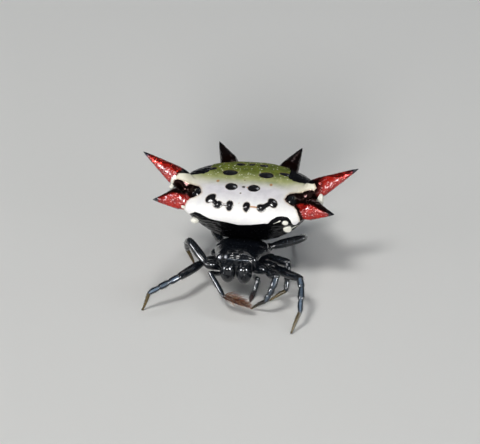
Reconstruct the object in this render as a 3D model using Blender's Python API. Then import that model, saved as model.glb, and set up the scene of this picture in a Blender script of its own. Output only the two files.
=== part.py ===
"""A spiny orb weaver (Gasteracantha cancriformis, adult female) as a still, life-size model.

It stands on eight small foot flats at z = 0 and faces -Y, with +Z up and its left side at +X.
Sizes below are in millimetres and meshes are in metres. Every limb meets the cephalothorax face to
face across one seam, and the six spines are one body with the shield that they grow from.
"""

import math

import bmesh
import bpy
import numpy as np
from mathutils import Matrix, Vector
from mathutils.bvhtree import BVHTree

MM = 0.001  # metres in a millimetre
SEAM = 0.25  # gap between a piece and what it grows from
EYE_SEAM = 0.05  # the same for the tiny eyes, which sit in sockets

# Cephalothorax: a loft along Y. Each station is y, half width, top z, bottom z.
HEAD_STATIONS = (
    (0.00, 0.92, 2.66, 2.20),
    (0.14, 1.22, 2.84, 2.02),
    (0.50, 1.34, 2.92, 1.50),
    (1.00, 1.38, 2.94, 1.24),
    (1.60, 1.56, 2.86, 1.14),
    (2.20, 1.70, 2.74, 1.12),
    (2.80, 1.62, 2.56, 1.16),
    (3.25, 1.32, 2.34, 1.26),
    (3.55, 0.76, 2.06, 1.46),
)
HEAD_SQUARENESS = 2.7
HEAD_RINGS = 18
HEAD_AROUND = 28

# Shield: a dome on a rim that lies in a plane tilted up towards the rear, and lifts at the sides.
ABDOMEN_CENTRE = (0.0, 4.70, 4.49)
ABDOMEN_TILT = math.radians(6.1)
SHIELD_HALF_WIDTH = 4.12
SHIELD_HALF_DEPTH = 2.90
SHIELD_SQUARENESS_FRONT = 3.5
SHIELD_SQUARENESS_REAR = 2.25
RIM_SIDE_LIFT = 0.42
RIM_LIFT_NARROWNESS = 6
DOME_HEIGHT = 1.29
DOME_FULLNESS = 2.65
DOME_RINGS = 11
DOME_TOP_SHARE = 0.06  # how far from the middle the first ring lies, of a quarter turn
ABDOMEN_AROUND = 44
# Belly: below the rim, half width, half depth, drop, and shift to the rear of each level.
BELLY_STATIONS = (
    (4.04, 2.84, 0.20, 0.00),
    (3.90, 2.68, 0.48, 0.00),
    (3.66, 2.44, 0.90, -0.01),
    (3.34, 2.22, 1.32, -0.03),
    (2.94, 2.02, 1.72, -0.04),
    (2.48, 1.80, 2.06, -0.04),
    (1.98, 1.54, 2.36, 0.00),
    (1.42, 1.20, 2.62, 0.08),
    (0.90, 0.82, 2.82, 0.17),
    (0.50, 0.50, 2.96, 0.22),
)
PEDICEL_ENDS = ((0.0, 3.00, 1.86), (0.0, 4.60, 2.30))
PEDICEL_RADIUS = 0.36

# Spinnerets: a ring under the belly's tip and four short cones.
SPINNERET_RING_RADIUS = 0.44
SPINNERET_RING_HEIGHT = 0.16
SPINNERET_LENGTH = 0.42
SPINNERET_RADIUS = 0.17
SPINNERET_PROFILE = ((0.0, 1.0), (0.6, 0.9), (1.0, 0.35))
SPINNERET_SPREAD = 0.19

# Spines: root and tip on the left side, and the measure of its girth. The right side mirrors them.
SPINES = {
    "front": (Vector((3.06, 3.22, 4.77)), Vector((5.56, 2.46, 4.90)), 0.84),
    "side": (Vector((2.90, 3.47, 5.12)), Vector((6.65, 5.09, 6.74)), 0.83),
    "rear": (Vector((1.33, 6.16, 4.70)), Vector((2.63, 9.00, 5.83)), 0.84),
}
ROOT_SHIFTS = {"front": 0.0, "side": 0.0, "rear": 0.36}  # how far both roots sit to the left
SPINE_PROFILE = ((0.0, 0.35), (0.12, 0.62), (0.30, 0.78), (0.45, 0.70), (0.74, 0.36), (1.0, 0.06))
SPINE_SIDES = 12

# Legs: a ring of roots round the cephalothorax, counted from the front pair.
COXA_RING_CENTRE = Vector((0.0, 1.78, 1.52))
COXA_RING_HALF = Vector((1.62, 1.80, 0.0))
COXA_ANGLES = {1: -38.0, 2: -13.0, 3: 21.0, 4: 46.0}  # degrees behind the straight side
COXA_ROOT_SHARE = 0.55  # of the ring's half sizes, well inside the body
TROCHANTER_SHARES = {1: 1.40, 2: 1.36, 3: 1.18, 4: 1.30}
TROCHANTER_RISES = {1: 0.46, 2: 0.10, 3: 0.0, 4: 0.20}
COXA_RADIUS = 0.34
FEMUR_RADIUS = 0.29
PATELLA_RADIUS = 0.28
TIBIA_RADIUS = 0.26
METATARSUS_RADIUS = 0.25
TARSUS_RADIUS = 0.24
TARSUS_TIP_RADIUS = 0.15
PATELLA_LENGTHS = {1: 0.70, 2: 0.66, 3: 0.46, 4: 0.62}
PATELLA_STRAIGHTNESS = 0.25  # how much a patella follows its femur rather than its tibia
TIBIA_SHARE = 0.52  # of the stretch that tibia and metatarsus make together
JOINT_WAIST = 0.68  # radius at a joint, as a share of the segment's own
JOINT_OVERLAP = 0.5  # how far a segment runs past its joint, in radii
SEGMENT_PROFILE = ((0.0, JOINT_WAIST), (0.12, 0.94), (0.40, 1.0), (0.84, 0.96), (1.0, JOINT_WAIST))
TARSUS_SHOULDER = 0.12  # how far from the heel a tarsus is at its thickest
FOOT_SINK = 0.12  # how far a tarsus runs below the floor before it is cut flat
FLOOR_SLAB_WIDTH = 40.0
FLOOR_SLAB_DEPTH = 2.0

# Stance: knee, heel (where metatarsus meets tarsus) and foot of each leg.
STANCE = {
    "leg_1_right": ((-3.12, 1.50, 2.80), (-3.58, 3.00, 1.33), (-3.25, 3.52, 0.0)),
    "leg_2_right": ((-3.29, -1.00, 1.68), (-4.89, -2.20, 1.11), (-5.25, -2.46, 0.0)),
    "leg_3_right": ((-1.90, 3.40, 0.98), (-1.76, 4.35, 0.74), (-1.62, 5.05, 0.0)),
    "leg_4_right": ((-2.25, 4.90, 1.76), (-2.35, 6.55, 1.10), (-2.40, 7.80, 0.0)),
    "leg_1_left": ((2.66, -1.20, 2.42), (2.10, -1.70, 0.96), (1.16, -1.24, 0.0)),
    "leg_2_left": ((4.01, -0.70, 2.12), (4.33, -2.70, 1.02), (3.95, -3.60, 0.0)),
    "leg_3_left": ((2.94, 1.26, 2.03), (3.02, 0.30, 0.62), (2.09, -0.12, 0.0)),
    "leg_4_left": ((3.41, 4.20, 2.10), (3.07, 6.15, 1.10), (2.44, 7.20, 0.0)),
}

# Palps: root, raised elbow, wrist and tip of each, which cross below the face.
PALP_RADIUS = 0.235
PALP_TIP_RADIUS = 0.12
PALPS = {
    "palp_right": ((-1.00, 0.75, 1.14), (-1.46, -0.70, 1.98), (-0.48, -1.62, 0.98), (1.00, -2.00, 0.66)),
    "palp_left": ((1.00, 0.75, 1.14), (1.50, -0.80, 1.90), (1.35, -1.12, 1.30), (1.08, -1.22, 0.56)),
}

# Chelicerae: centre of the left one, its half sizes, and its fang's radii.
CHELICERA_CENTRE = Vector((0.51, -0.06, 1.72))
CHELICERA_HALF = Vector((0.47, 0.47, 0.66))
CHELICERA_NARROWING = 0.16
FANG_POINTS = ((0.12, 0.12, -0.48), (-0.11, 0.28, -0.60), (-0.34, 0.36, -0.53))  # from the centre
FANG_RADII = (0.15, 0.11, 0.05)

# Eyes on the left side: a place near the head's surface, and the radius.
EYES = {
    "eye_front_median": ((0.17, -0.10, 2.60), 0.11),
    "eye_rear_median": ((0.22, 0.22, 3.00), 0.12),
    "eye_front_lateral": ((0.98, -0.10, 2.52), 0.10),
    "eye_rear_lateral": ((1.14, 0.16, 2.76), 0.10),
}
EYE_SUNK = 0.35  # share of the radius by which an eye's centre lies below the surface

# Finish: base colour, roughness and metallic value.
FINISHES = {
    "shield": ((0.86, 0.85, 0.76, 1.0), 0.35, 0.0),
    "spine_red": ((0.55, 0.03, 0.03, 1.0), 0.35, 0.0),
    "jet": ((0.012, 0.014, 0.020, 1.0), 0.25, 0.0),
    "eye": ((0.004, 0.004, 0.005, 1.0), 0.08, 0.0),
}


def clear_scene():
    for obj in list(bpy.data.objects):
        bpy.data.objects.remove(obj)


def new_collection(name, hidden=False):
    collection = bpy.data.collections.new(name)
    collection.hide_render = hidden
    bpy.context.scene.collection.children.link(collection)
    return collection


def make_material(name):
    colour, roughness, metallic = FINISHES[name]
    material = bpy.data.materials.new(name)
    material.use_nodes = True
    shader = material.node_tree.nodes["Principled BSDF"]
    shader.inputs["Base Color"].default_value = colour
    shader.inputs["Roughness"].default_value = roughness
    shader.inputs["Metallic"].default_value = metallic
    material.diffuse_color = colour
    return material


def link_mesh(name, mesh, collection, material):
    mesh.materials.clear()
    mesh.materials.append(material)
    obj = bpy.data.objects.new(name, mesh)
    collection.objects.link(obj)
    return obj


def loft(name, rings, collection, material):
    """A closed skin over rings of equal count, in millimetres, each end drawn to its ring's middle."""
    count, around, _ = rings.shape
    points = rings.reshape(-1, 3).tolist()
    points += [rings[0].mean(axis=0).tolist(), rings[-1].mean(axis=0).tolist()]
    first_pole, last_pole = count * around, count * around + 1
    faces = []
    for i in range(around):
        j = (i + 1) % around
        faces.append((first_pole, j, i))
        faces += [
            (r * around + i, r * around + j, (r + 1) * around + j, (r + 1) * around + i)
            for r in range(count - 1)
        ]
        faces.append(((count - 1) * around + i, (count - 1) * around + j, last_pole))
    mesh = bpy.data.meshes.new(name)
    mesh.from_pydata([[c * MM for c in p] for p in points], [], faces)
    shape = bmesh.new()
    shape.from_mesh(mesh)
    bmesh.ops.recalc_face_normals(shape, faces=shape.faces)
    bmesh.ops.triangulate(shape, faces=shape.faces)
    shape.to_mesh(mesh)
    shape.free()
    return link_mesh(name, mesh, collection, material)


def smooth_stations(stations, count):
    """Catmull-Rom samples through the rows of a small table."""
    rows = np.array(stations, float)
    padded = np.vstack([2 * rows[0] - rows[1], rows, 2 * rows[-1] - rows[-2]])
    places = np.linspace(0, len(rows) - 1, count)
    index = np.minimum(places.astype(int), len(rows) - 2)
    t = (places - index)[:, None]
    p0, p1, p2, p3 = (padded[index + k] for k in range(4))
    return 0.5 * (
        2 * p1
        + (p2 - p0) * t
        + (2 * p0 - 5 * p1 + 4 * p2 - p3) * t**2
        + (3 * p1 - p0 - 3 * p2 + p3) * t**3
    )


def superellipse(angle, squareness):
    """Points of the unit superellipse, each in the direction of its angle."""
    c, s = np.cos(angle), np.sin(angle)
    reach = (np.abs(c) ** squareness + np.abs(s) ** squareness) ** (-1 / squareness)
    return c * reach, s * reach


def cephalothorax_rings(grow=0.0):
    """Sections across Y, each a superellipse, all of them larger by grow on every side."""
    angle = np.arange(HEAD_AROUND) * 2 * math.pi / HEAD_AROUND
    across, upright = superellipse(angle, HEAD_SQUARENESS)
    stations = smooth_stations(HEAD_STATIONS, HEAD_RINGS)
    if grow:
        ends = stations[[0, -1]].copy()
        ends[:, 0] += (-grow, grow)
        stations = np.vstack([ends[:1], stations, ends[1:]])
    y, half_width, top, bottom = stations.T[:, :, None]
    half_height = (top - bottom) / 2 + grow
    x = (half_width + grow) * across
    z = (top + bottom) / 2 + half_height * upright
    return np.stack([x, np.broadcast_to(y, x.shape), z], axis=2)


def abdomen_rings():
    """Level outlines from the dome's top down over the rim to the belly's tip, tilted as one."""
    angle = np.arange(ABDOMEN_AROUND) * 2 * math.pi / ABDOMEN_AROUND
    squareness = np.where(np.sin(angle) < 0, SHIELD_SQUARENESS_FRONT, SHIELD_SQUARENESS_REAR)
    lift = RIM_SIDE_LIFT * np.abs(np.cos(angle)) ** RIM_LIFT_NARROWNESS
    levels = []
    for share in np.sin(np.linspace(DOME_TOP_SHARE, 1.0, DOME_RINGS) * math.pi / 2):
        height = DOME_HEIGHT * (1 - share**DOME_FULLNESS) ** (1 / DOME_FULLNESS)
        levels.append((share * SHIELD_HALF_WIDTH, share * SHIELD_HALF_DEPTH, -height, 0.0, share**3))
    deepest = BELLY_STATIONS[-1][2]
    for half_width, half_depth, drop, shift in BELLY_STATIONS:
        levels.append((half_width, half_depth, drop, shift, (1 - drop / deepest) ** 2))
    rings = []
    for half_width, half_depth, drop, shift, lifted in levels:
        roundness = max(drop, 0.0) / deepest
        across, along = superellipse(angle, squareness * (1 - roundness) + 2 * roundness)
        x, y, z = half_width * across, half_depth * along + shift, lift * lifted - drop
        rings.append(np.stack([x, y, z], axis=1))
    tilt = np.array(Matrix.Rotation(ABDOMEN_TILT, 3, "X"))
    return np.array(rings) @ tilt.T + np.array(ABDOMEN_CENTRE)


def tapered_tube(name, points, radii, collection, material, sides=8):
    """A curve through points in millimetres with a radius at each, made a closed mesh."""
    curve = bpy.data.curves.new(name, "CURVE")
    curve.dimensions = "3D"
    curve.bevel_depth = MM
    curve.bevel_resolution = sides // 2 - 2
    curve.use_fill_caps = True
    spline = curve.splines.new("POLY")
    spline.points.add(len(points) - 1)
    for knot, point, radius in zip(spline.points, points, radii):
        knot.co = (*(Vector(point) * MM), 1.0)
        knot.radius = radius
    source = bpy.data.objects.new(name, curve)
    collection.objects.link(source)
    graph = bpy.context.evaluated_depsgraph_get()
    mesh = bpy.data.meshes.new_from_object(source.evaluated_get(graph))
    shape = bmesh.new()
    shape.from_mesh(mesh)
    bmesh.ops.remove_doubles(shape, verts=shape.verts, dist=MM * 0.001)
    bmesh.ops.recalc_face_normals(shape, faces=shape.faces)
    shape.to_mesh(mesh)
    shape.free()
    bpy.data.objects.remove(source)
    return link_mesh(name, mesh, collection, material)


def apply_boolean(obj, operation, target):
    """Joins or cuts obj by an object or by a collection, and makes the result its own mesh."""
    modifier = obj.modifiers.new(operation.title(), "BOOLEAN")
    modifier.operation = operation
    modifier.solver = "EXACT"
    if isinstance(target, bpy.types.Collection):
        modifier.operand_type = "COLLECTION"
        modifier.collection = target
    else:
        modifier.object = target
    graph = bpy.context.evaluated_depsgraph_get()
    mesh = bpy.data.meshes.new_from_object(obj.evaluated_get(graph))
    obj.modifiers.clear()
    obj.data = mesh


def apply_pieces(obj, operation, pieces):
    """Joins obj to all its pieces, or cuts them out of it, and removes their collection."""
    apply_boolean(obj, operation, pieces)
    for piece in list(pieces.objects):
        bpy.data.objects.remove(piece)
    bpy.data.collections.remove(pieces)


def keep_largest(obj):
    """Drops every closed surface of obj but the one that holds the most."""
    shape = bmesh.new()
    shape.from_mesh(obj.data)
    shape.verts.ensure_lookup_table()
    seen, bodies = set(), []
    for start in shape.verts:
        if start.index in seen:
            continue
        body, front = [], [start]
        seen.add(start.index)
        while front:
            vertex = front.pop()
            body.append(vertex)
            for edge in vertex.link_edges:
                other = edge.other_vert(vertex)
                if other.index not in seen:
                    seen.add(other.index)
                    front.append(other)
        bodies.append(body)
    spans = []
    for body in bodies:
        places = np.array([v.co for v in body])
        spans.append(float(np.prod(places.max(axis=0) - places.min(axis=0))))
    largest = spans.index(max(spans))
    loose = [v for i, body in enumerate(bodies) if i != largest for v in body]
    bmesh.ops.delete(shape, geom=loose, context="VERTS")
    shape.to_mesh(obj.data)
    shape.free()


def finish_body(obj, cutters):
    """Cuts obj by each cutter in turn, and leaves one closed surface."""
    for cutter in cutters:
        apply_boolean(obj, "DIFFERENCE", cutter)
    keep_largest(obj)


def adopt(name, collection, material):
    """The primitive just added, named and moved to its own collection."""
    obj = bpy.context.object
    obj.name = name
    for owner in list(obj.users_collection):
        owner.objects.unlink(obj)
    collection.objects.link(obj)
    obj.data.materials.append(material)
    return obj


def hide_cutter(cutter):
    cutter.hide_render = True
    cutter.display_type = "WIRE"
    return cutter


def floor_cutter(collection, material):
    """A slab whose top is the floor."""
    bpy.ops.mesh.primitive_cube_add(size=1, location=(0, 0, -FLOOR_SLAB_DEPTH * MM / 2))
    cutter = adopt("floor_cutter", collection, material)
    cutter.scale = (FLOOR_SLAB_WIDTH * MM, FLOOR_SLAB_WIDTH * MM, FLOOR_SLAB_DEPTH * MM)
    bpy.context.view_layer.update()
    cutter.data.transform(cutter.matrix_world)
    cutter.matrix_world = Matrix.Identity(4)
    return hide_cutter(cutter)


def segment(start, end, radius):
    """Points and radii of one limb segment, waisted at both joints and run a little past them."""
    overlap = (end - start).normalized() * JOINT_OVERLAP * radius
    points = [start.lerp(end, place) for place, _ in SEGMENT_PROFILE]
    points[0] -= overlap
    points[-1] += overlap
    return points, [radius * share for _, share in SEGMENT_PROFILE]


def leg_joints(name):
    """The seven joints of one leg, from the coxa's root inside the body to the foot."""
    pair = int(name.split("_")[1])
    side = 1 if name.endswith("left") else -1
    angle = math.radians(COXA_ANGLES[pair])
    ring = Vector(
        (side * math.cos(angle) * COXA_RING_HALF.x, math.sin(angle) * COXA_RING_HALF.y, 0)
    )
    root = COXA_RING_CENTRE + ring * COXA_ROOT_SHARE
    trochanter = COXA_RING_CENTRE + ring * TROCHANTER_SHARES[pair]
    trochanter.z += TROCHANTER_RISES[pair]
    knee, heel, foot = (Vector(p) for p in STANCE[name])
    femur_way = (knee - trochanter).normalized()
    shin_way = (heel - knee).normalized()
    patella_way = (femur_way * PATELLA_STRAIGHTNESS + shin_way).normalized()
    shin = knee + patella_way * PATELLA_LENGTHS[pair]
    ankle = shin.lerp(heel, TIBIA_SHARE)
    return root, trochanter, knee, shin, ankle, heel, foot


def limb_tip(name, start, end, radius, tip_radius, collection, material):
    """The last segment of a limb: thickest just past its joint, then drawn out to its tip."""
    way = (end - start).normalized()
    points = (start - way * 0.1, start + way * TARSUS_SHOULDER, start.lerp(end, 0.6), end)
    radii = (radius * JOINT_WAIST, radius, radius * 0.4 + tip_radius * 0.6 + 0.02, tip_radius)
    tapered_tube(name, points, radii, collection, material)


def make_leg(name, nodes, cutters, material):
    root, trochanter, knee, shin, ankle, heel, foot = leg_joints(name)
    stretches = (
        ("femur", trochanter, knee, FEMUR_RADIUS),
        ("patella", knee, shin, PATELLA_RADIUS),
        ("tibia", shin, ankle, TIBIA_RADIUS),
        ("metatarsus", ankle, heel, METATARSUS_RADIUS),
    )
    pieces = new_collection(name + "_pieces", hidden=True)
    for part, start, end, radius in stretches:
        points, radii = segment(start, end, radius)
        tapered_tube(f"{name}_{part}", points, radii, pieces, material)
    toe = foot + (foot - heel).normalized() * FOOT_SINK
    limb_tip(name + "_tarsus", heel, toe, TARSUS_RADIUS, TARSUS_TIP_RADIUS, pieces, material)
    points, radii = segment(root, trochanter, COXA_RADIUS)
    leg = tapered_tube(name, points, radii, nodes, material)
    apply_pieces(leg, "UNION", pieces)
    finish_body(leg, cutters)


def make_palp(name, nodes, body_cutter, material):
    root, elbow, wrist, tip = (Vector(p) for p in PALPS[name])
    pieces = new_collection(name + "_pieces", hidden=True)
    points, radii = segment(elbow, wrist, PALP_RADIUS)
    tapered_tube(name + "_tibia", points, radii, pieces, material)
    limb_tip(name + "_tarsus", wrist, tip, PALP_RADIUS, PALP_TIP_RADIUS, pieces, material)
    points, radii = segment(root, elbow, PALP_RADIUS)
    palp = tapered_tube(name, points, radii, nodes, material)
    apply_pieces(palp, "UNION", pieces)
    finish_body(palp, [body_cutter])


def mirrored(point, side):
    """A place given for the left side, on the side asked for: 1 is left and -1 is right."""
    return Vector((point[0] * side, point[1], point[2]))


def make_abdomen(nodes, body_cutter, shield, red):
    abdomen = loft("abdomen", abdomen_rings(), nodes, shield)
    pieces = new_collection("spines", hidden=True)
    for label, (root, tip, radius) in SPINES.items():
        for side, word in ((1, "left"), (-1, "right")):
            start, end = mirrored(root, side), mirrored(tip, side)
            start.x += ROOT_SHIFTS[label]
            points = [start.lerp(end, place) for place, _ in SPINE_PROFILE]
            radii = [radius * share for _, share in SPINE_PROFILE]
            tapered_tube(f"spine_{label}_{word}", points, radii, pieces, red, sides=SPINE_SIDES)
    pedicel_radii = (PEDICEL_RADIUS, PEDICEL_RADIUS)
    tapered_tube("pedicel", PEDICEL_ENDS, pedicel_radii, pieces, shield)
    apply_pieces(abdomen, "UNION", pieces)
    finish_body(abdomen, [body_cutter])


def make_chelicera(name, side, nodes, body_cutter, material):
    """A stout upright bulb with the fang folded in towards its twin under the lower end."""
    bpy.ops.mesh.primitive_uv_sphere_add(segments=18, ring_count=12, radius=1)
    bulb = adopt(name, nodes, material)
    centre = mirrored(CHELICERA_CENTRE, side)
    for vertex in bulb.data.vertices:
        narrow = 1 - CHELICERA_NARROWING * max(-vertex.co.z, 0)
        reach = vertex.co * CHELICERA_HALF
        vertex.co = (centre + Vector((reach.x * narrow, reach.y * narrow, reach.z))) * MM
    pieces = new_collection(name + "_pieces", hidden=True)
    fang = [centre + mirrored(point, side) for point in FANG_POINTS]
    tapered_tube(name + "_fang", fang, FANG_RADII, pieces, material)
    apply_pieces(bulb, "UNION", pieces)
    finish_body(bulb, [body_cutter])


def make_eyes(head, nodes, material):
    """Eight balls, each sunk in a socket that follows it, set where the head's surface is nearest."""
    tree = BVHTree.FromObject(head, bpy.context.evaluated_depsgraph_get())
    sockets = new_collection("sockets", hidden=True)
    for label, (place, radius) in EYES.items():
        for side, word in ((1, "left"), (-1, "right")):
            spot, normal, _, _ = tree.find_nearest(mirrored(place, side) * MM)
            centre = spot - normal * radius * EYE_SUNK * MM
            eye, socket = f"{label}_{word}", f"socket_{label}_{word}"
            for name, size, owner in ((eye, radius, nodes), (socket, radius + EYE_SEAM, sockets)):
                bpy.ops.mesh.primitive_uv_sphere_add(segments=10, ring_count=7, radius=size * MM)
                ball = adopt(name, owner, material)
                ball.data.transform(Matrix.Translation(centre))
    apply_pieces(head, "DIFFERENCE", sockets)


def make_spinnerets(nodes, material):
    """A low ring that hangs level below the belly's tip, with four short cones round its middle."""
    tip = abdomen_rings()[-1].mean(axis=0)
    top = Vector((0.0, tip[1], tip[2] - SEAM))
    ring_end = top - Vector((0, 0, SPINNERET_RING_HEIGHT))
    pieces = new_collection("spinneret_pieces", hidden=True)
    for turn in (45, 135, 225, 315):
        side = Vector((math.cos(math.radians(turn)), math.sin(math.radians(turn)), 0))
        start = top.lerp(ring_end, 0.5) + side * SPINNERET_SPREAD
        end = ring_end - Vector((0, 0, SPINNERET_LENGTH)) + side * SPINNERET_SPREAD * 0.4
        points = [start.lerp(end, place) for place, _ in SPINNERET_PROFILE]
        radii = [SPINNERET_RADIUS * share for _, share in SPINNERET_PROFILE]
        tapered_tube(f"spinneret_{turn}", points, radii, pieces, material)
    radii = (SPINNERET_RING_RADIUS, SPINNERET_RING_RADIUS * 0.86)
    ring = tapered_tube("spinnerets", (top, ring_end), radii, nodes, material, sides=12)
    apply_pieces(ring, "UNION", pieces)
    keep_largest(ring)


def centre_on_floor(nodes):
    """Moves every node so that the model's box stands centred on the origin, and returns the move."""
    corners = np.array([v.co for obj in nodes.objects for v in obj.data.vertices])
    middle = (corners.min(axis=0) + corners.max(axis=0)) / 2
    move = Vector((-middle[0], -middle[1], 0.0))
    for obj in nodes.objects:
        obj.data.transform(Matrix.Translation(move))
    return move


def main():
    clear_scene()
    nodes = new_collection("spiny_orb_weaver")
    cutters = new_collection("cutters", hidden=True)
    shield, red, jet, eye = (make_material(name) for name in FINISHES)

    head = loft("cephalothorax", cephalothorax_rings(), nodes, jet)
    body_cutter = hide_cutter(loft("body_cutter", cephalothorax_rings(SEAM), cutters, jet))
    floor = floor_cutter(cutters, jet)

    make_abdomen(nodes, body_cutter, shield, red)
    make_spinnerets(nodes, jet)
    for name in STANCE:
        make_leg(name, nodes, (body_cutter, floor), jet)
    for name in PALPS:
        make_palp(name, nodes, body_cutter, jet)
    for side, word in ((1, "left"), (-1, "right")):
        make_chelicera("chelicera_" + word, side, nodes, body_cutter, jet)
    make_eyes(head, nodes, eye)
    return centre_on_floor(nodes)


main()
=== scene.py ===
"""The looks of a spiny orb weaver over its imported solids.

A spotted shield with six spines, one black skin for the head, legs and palps, and the jaws, fangs,
eyes, claws and hairs that stand on it. Sizes are in millimetres, and places are measured as the solids'
own are: x to the spider's left, y back from the front of its head and z up from the floor. to_frame()
turns them into metres in the shared frame.
"""

import math

import bpy
import numpy as np
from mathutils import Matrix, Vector


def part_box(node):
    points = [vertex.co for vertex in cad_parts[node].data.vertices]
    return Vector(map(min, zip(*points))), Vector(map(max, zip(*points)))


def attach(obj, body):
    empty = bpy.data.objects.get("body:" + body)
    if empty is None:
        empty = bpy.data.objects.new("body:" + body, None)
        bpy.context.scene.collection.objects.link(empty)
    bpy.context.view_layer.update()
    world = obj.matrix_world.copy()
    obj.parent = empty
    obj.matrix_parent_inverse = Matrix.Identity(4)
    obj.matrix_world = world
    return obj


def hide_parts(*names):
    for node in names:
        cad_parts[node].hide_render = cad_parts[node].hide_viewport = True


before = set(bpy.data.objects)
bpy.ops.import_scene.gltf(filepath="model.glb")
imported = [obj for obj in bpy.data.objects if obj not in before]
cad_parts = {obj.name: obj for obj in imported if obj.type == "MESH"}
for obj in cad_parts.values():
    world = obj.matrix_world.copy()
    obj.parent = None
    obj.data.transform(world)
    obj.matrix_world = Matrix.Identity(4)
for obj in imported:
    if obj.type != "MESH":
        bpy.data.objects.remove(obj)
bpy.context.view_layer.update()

MM = 0.001  # metres in a millimetre
OUTSIDE = -9.0  # the depth of a place that lies in no patch of a kind
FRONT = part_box("cephalothorax")[0].y  # the shared frame's y at the front of the head, in metres

# Shield: a dome on a rim that lies in a plane tilted up towards the rear, and lifts at the sides.
ABDOMEN_CENTRE = np.array((0.0, 4.70, 4.49))
ABDOMEN_TILT = math.radians(6.1)
SHIELD_HALF_WIDTH, SHIELD_HALF_DEPTH = 4.12, 2.90
SQUARENESS_FRONT, SQUARENESS_REAR = 3.5, 2.25
RIM_SIDE_LIFT, RIM_LIFT_NARROWNESS = 0.42, 6
DOME_HEIGHT, DOME_FULLNESS = 1.29, 2.65
# Belly: half width, half depth, drop below the rim, and shift to the rear of each level.
BELLY_STATIONS = (
    (4.12, 2.90, 0.00, 0.00),
    (4.04, 2.84, 0.20, 0.00),
    (3.90, 2.68, 0.48, 0.00),
    (3.66, 2.44, 0.90, -0.01),
    (3.34, 2.22, 1.32, -0.03),
    (2.94, 2.02, 1.72, -0.04),
    (2.48, 1.80, 2.06, -0.04),
    (1.98, 1.54, 2.36, 0.00),
    (1.42, 1.20, 2.62, 0.08),
    (0.90, 0.82, 2.82, 0.17),
    (0.50, 0.50, 2.96, 0.22),
)
DOME_ROWS, BELLY_ROWS, ABDOMEN_COLUMNS = 92, 108, 360
PEDICEL_ENDS = ((0.0, 2.90, 1.86), (0.0, 4.60, 2.30))
PEDICEL_RADIUS = 0.36

# Marks on the shield. Pairs of ovals: across from their middle, along, half sizes of each, turn, and how
# far their middle lies to the left.
PITS = (
    (0.52, -2.43, 0.22, 0.28, 0, -0.26),
    (1.335, -2.42, 0.28, 0.22, 0, -0.175),
    (1.905, -2.03, 0.26, 0.36, 40, -0.105),
    (0.69, -0.97, 0.37, 0.33, 0, -0.22),
    (1.12, 0.52, 0.46, 0.33, 0, -0.12),
    (0.73, 1.70, 0.27, 0.21, 0, -0.06),
    (0.00, 1.74, 0.19, 0.19, 0, -0.08),
    (2.32, 0.88, 0.40, 0.20, -20, -0.20),
)
TOP_LEVEL = 0.15  # these marks lie higher than this above the rim's plane
MARK_MIDDLE = -0.15  # the middle of the marks below
BRIDGE = ((1.335, -2.42), (1.92, -2.03), 0.14)  # joins the two outer pits of the front row
THIN_BRIDGE = ((0.45, -2.43), (1.335, -2.42), 0.05)  # black on the right side, rust on the left
KNOBS = ((2.93, -1.53, 0.28, 0.32, 0, -0.03),)  # glossy, raised, at the inner end of the dark field
RUST_SPOTS = ((1.64, -0.50, 0.09, 0.13, 0, -0.19),)
# Specks near the middle, each on its own: across, along and radius.
DARK_SPECKS = ((-0.17, -0.90, 0.09), (-0.26, -1.51, 0.035), (-0.21, -0.22, 0.035))
RUST_SPECKS = ((0.07, -0.94, 0.05), (-0.22, -2.28, 0.03))
# The white front's lower edge: x, and height above the rim's plane.
FRONT_EDGE = (
    (-4.20, 0.20), (-3.56, -0.02), (-3.38, -0.14), (-3.22, 0.04), (-2.88, 0.31), (-2.56, 0.30),
    (-2.24, 0.17), (-1.92, 0.04), (-1.30, -0.05), (-0.69, -0.14), (-0.28, -0.25), (0.53, -0.17),
    (1.27, 0.02), (1.64, 0.08), (1.85, 0.34), (2.16, 0.52), (2.52, 0.53), (2.81, 0.46),
    (3.00, 0.20), (3.09, -0.18), (3.24, -0.34), (3.44, -0.05), (4.20, 0.20),
)
REAR_EDGE_SIDE, REAR_EDGE_MIDDLE = 0.22, 2.45  # how far back the pale part goes, at the sides and amid
REAR_EDGE_TURN = (2.20, 2.75)  # the stretch of x over which the one becomes the other
REAR_EDGE_WAVES = (0.08, 0.13)  # how far the edge wanders, along and across
# The white's lower edge on the flanks holds beyond the first distance and is gone by the second: its
# height where y is 0, and its slope to the rear.
FLANK_EDGE = (3.7, 3.3, 0.65, 0.5)
# Marks at the corners, seen along a line that drops to the rear: distance from the middle, and height
# across that line. "Away" and "sight" are these two numbers.
SIGHT_DROP, SIGHT_MIDDLE = math.radians(28), -0.10
CORNER = (  # the dark field and the front spine, whose upper part is dark too
    (2.56, 6.16), (2.66, 6.38), (2.80, 6.50), (3.10, 6.55), (3.45, 6.63), (3.80, 6.78), (4.10, 6.86),
    (4.30, 6.80), (4.40, 6.55), (6.60, 6.55), (6.60, 4.30), (3.66, 4.30), (3.58, 5.05), (3.47, 5.32),
    (3.36, 5.58), (3.20, 5.76), (2.95, 5.86), (2.68, 6.02),
)
LEFT_CORNER = (  # more of it on the left, round the end of the white tongue
    (4.10, 6.60), (4.33, 6.88), (4.42, 7.07), (4.36, 7.25), (5.00, 7.60), (5.00, 6.40), (4.10, 6.40),
)
LEFT_CORNER_RIM, LEFT_CORNER_LOW = 0.25, 6.45  # its reach past the outline, and its lowest sight
LEFT_CORNER_RED, LEFT_CORNER_FADE = 4.5, 0.35  # red beyond this distance, and how slowly it turns so
LEFT_STRIP, LEFT_STRIP_END = 0.16, 3.9  # a dark margin inside the left corner, up to this distance
CORNER_REAR, CORNER_REACH = -0.5, 0.95  # how far back it goes, and how far from the front spine's axis
FRONT_SPINE_START, FRONT_SPINE_TOP = 3.0, 6.4  # the front spine lies beyond the one and below the other
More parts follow.
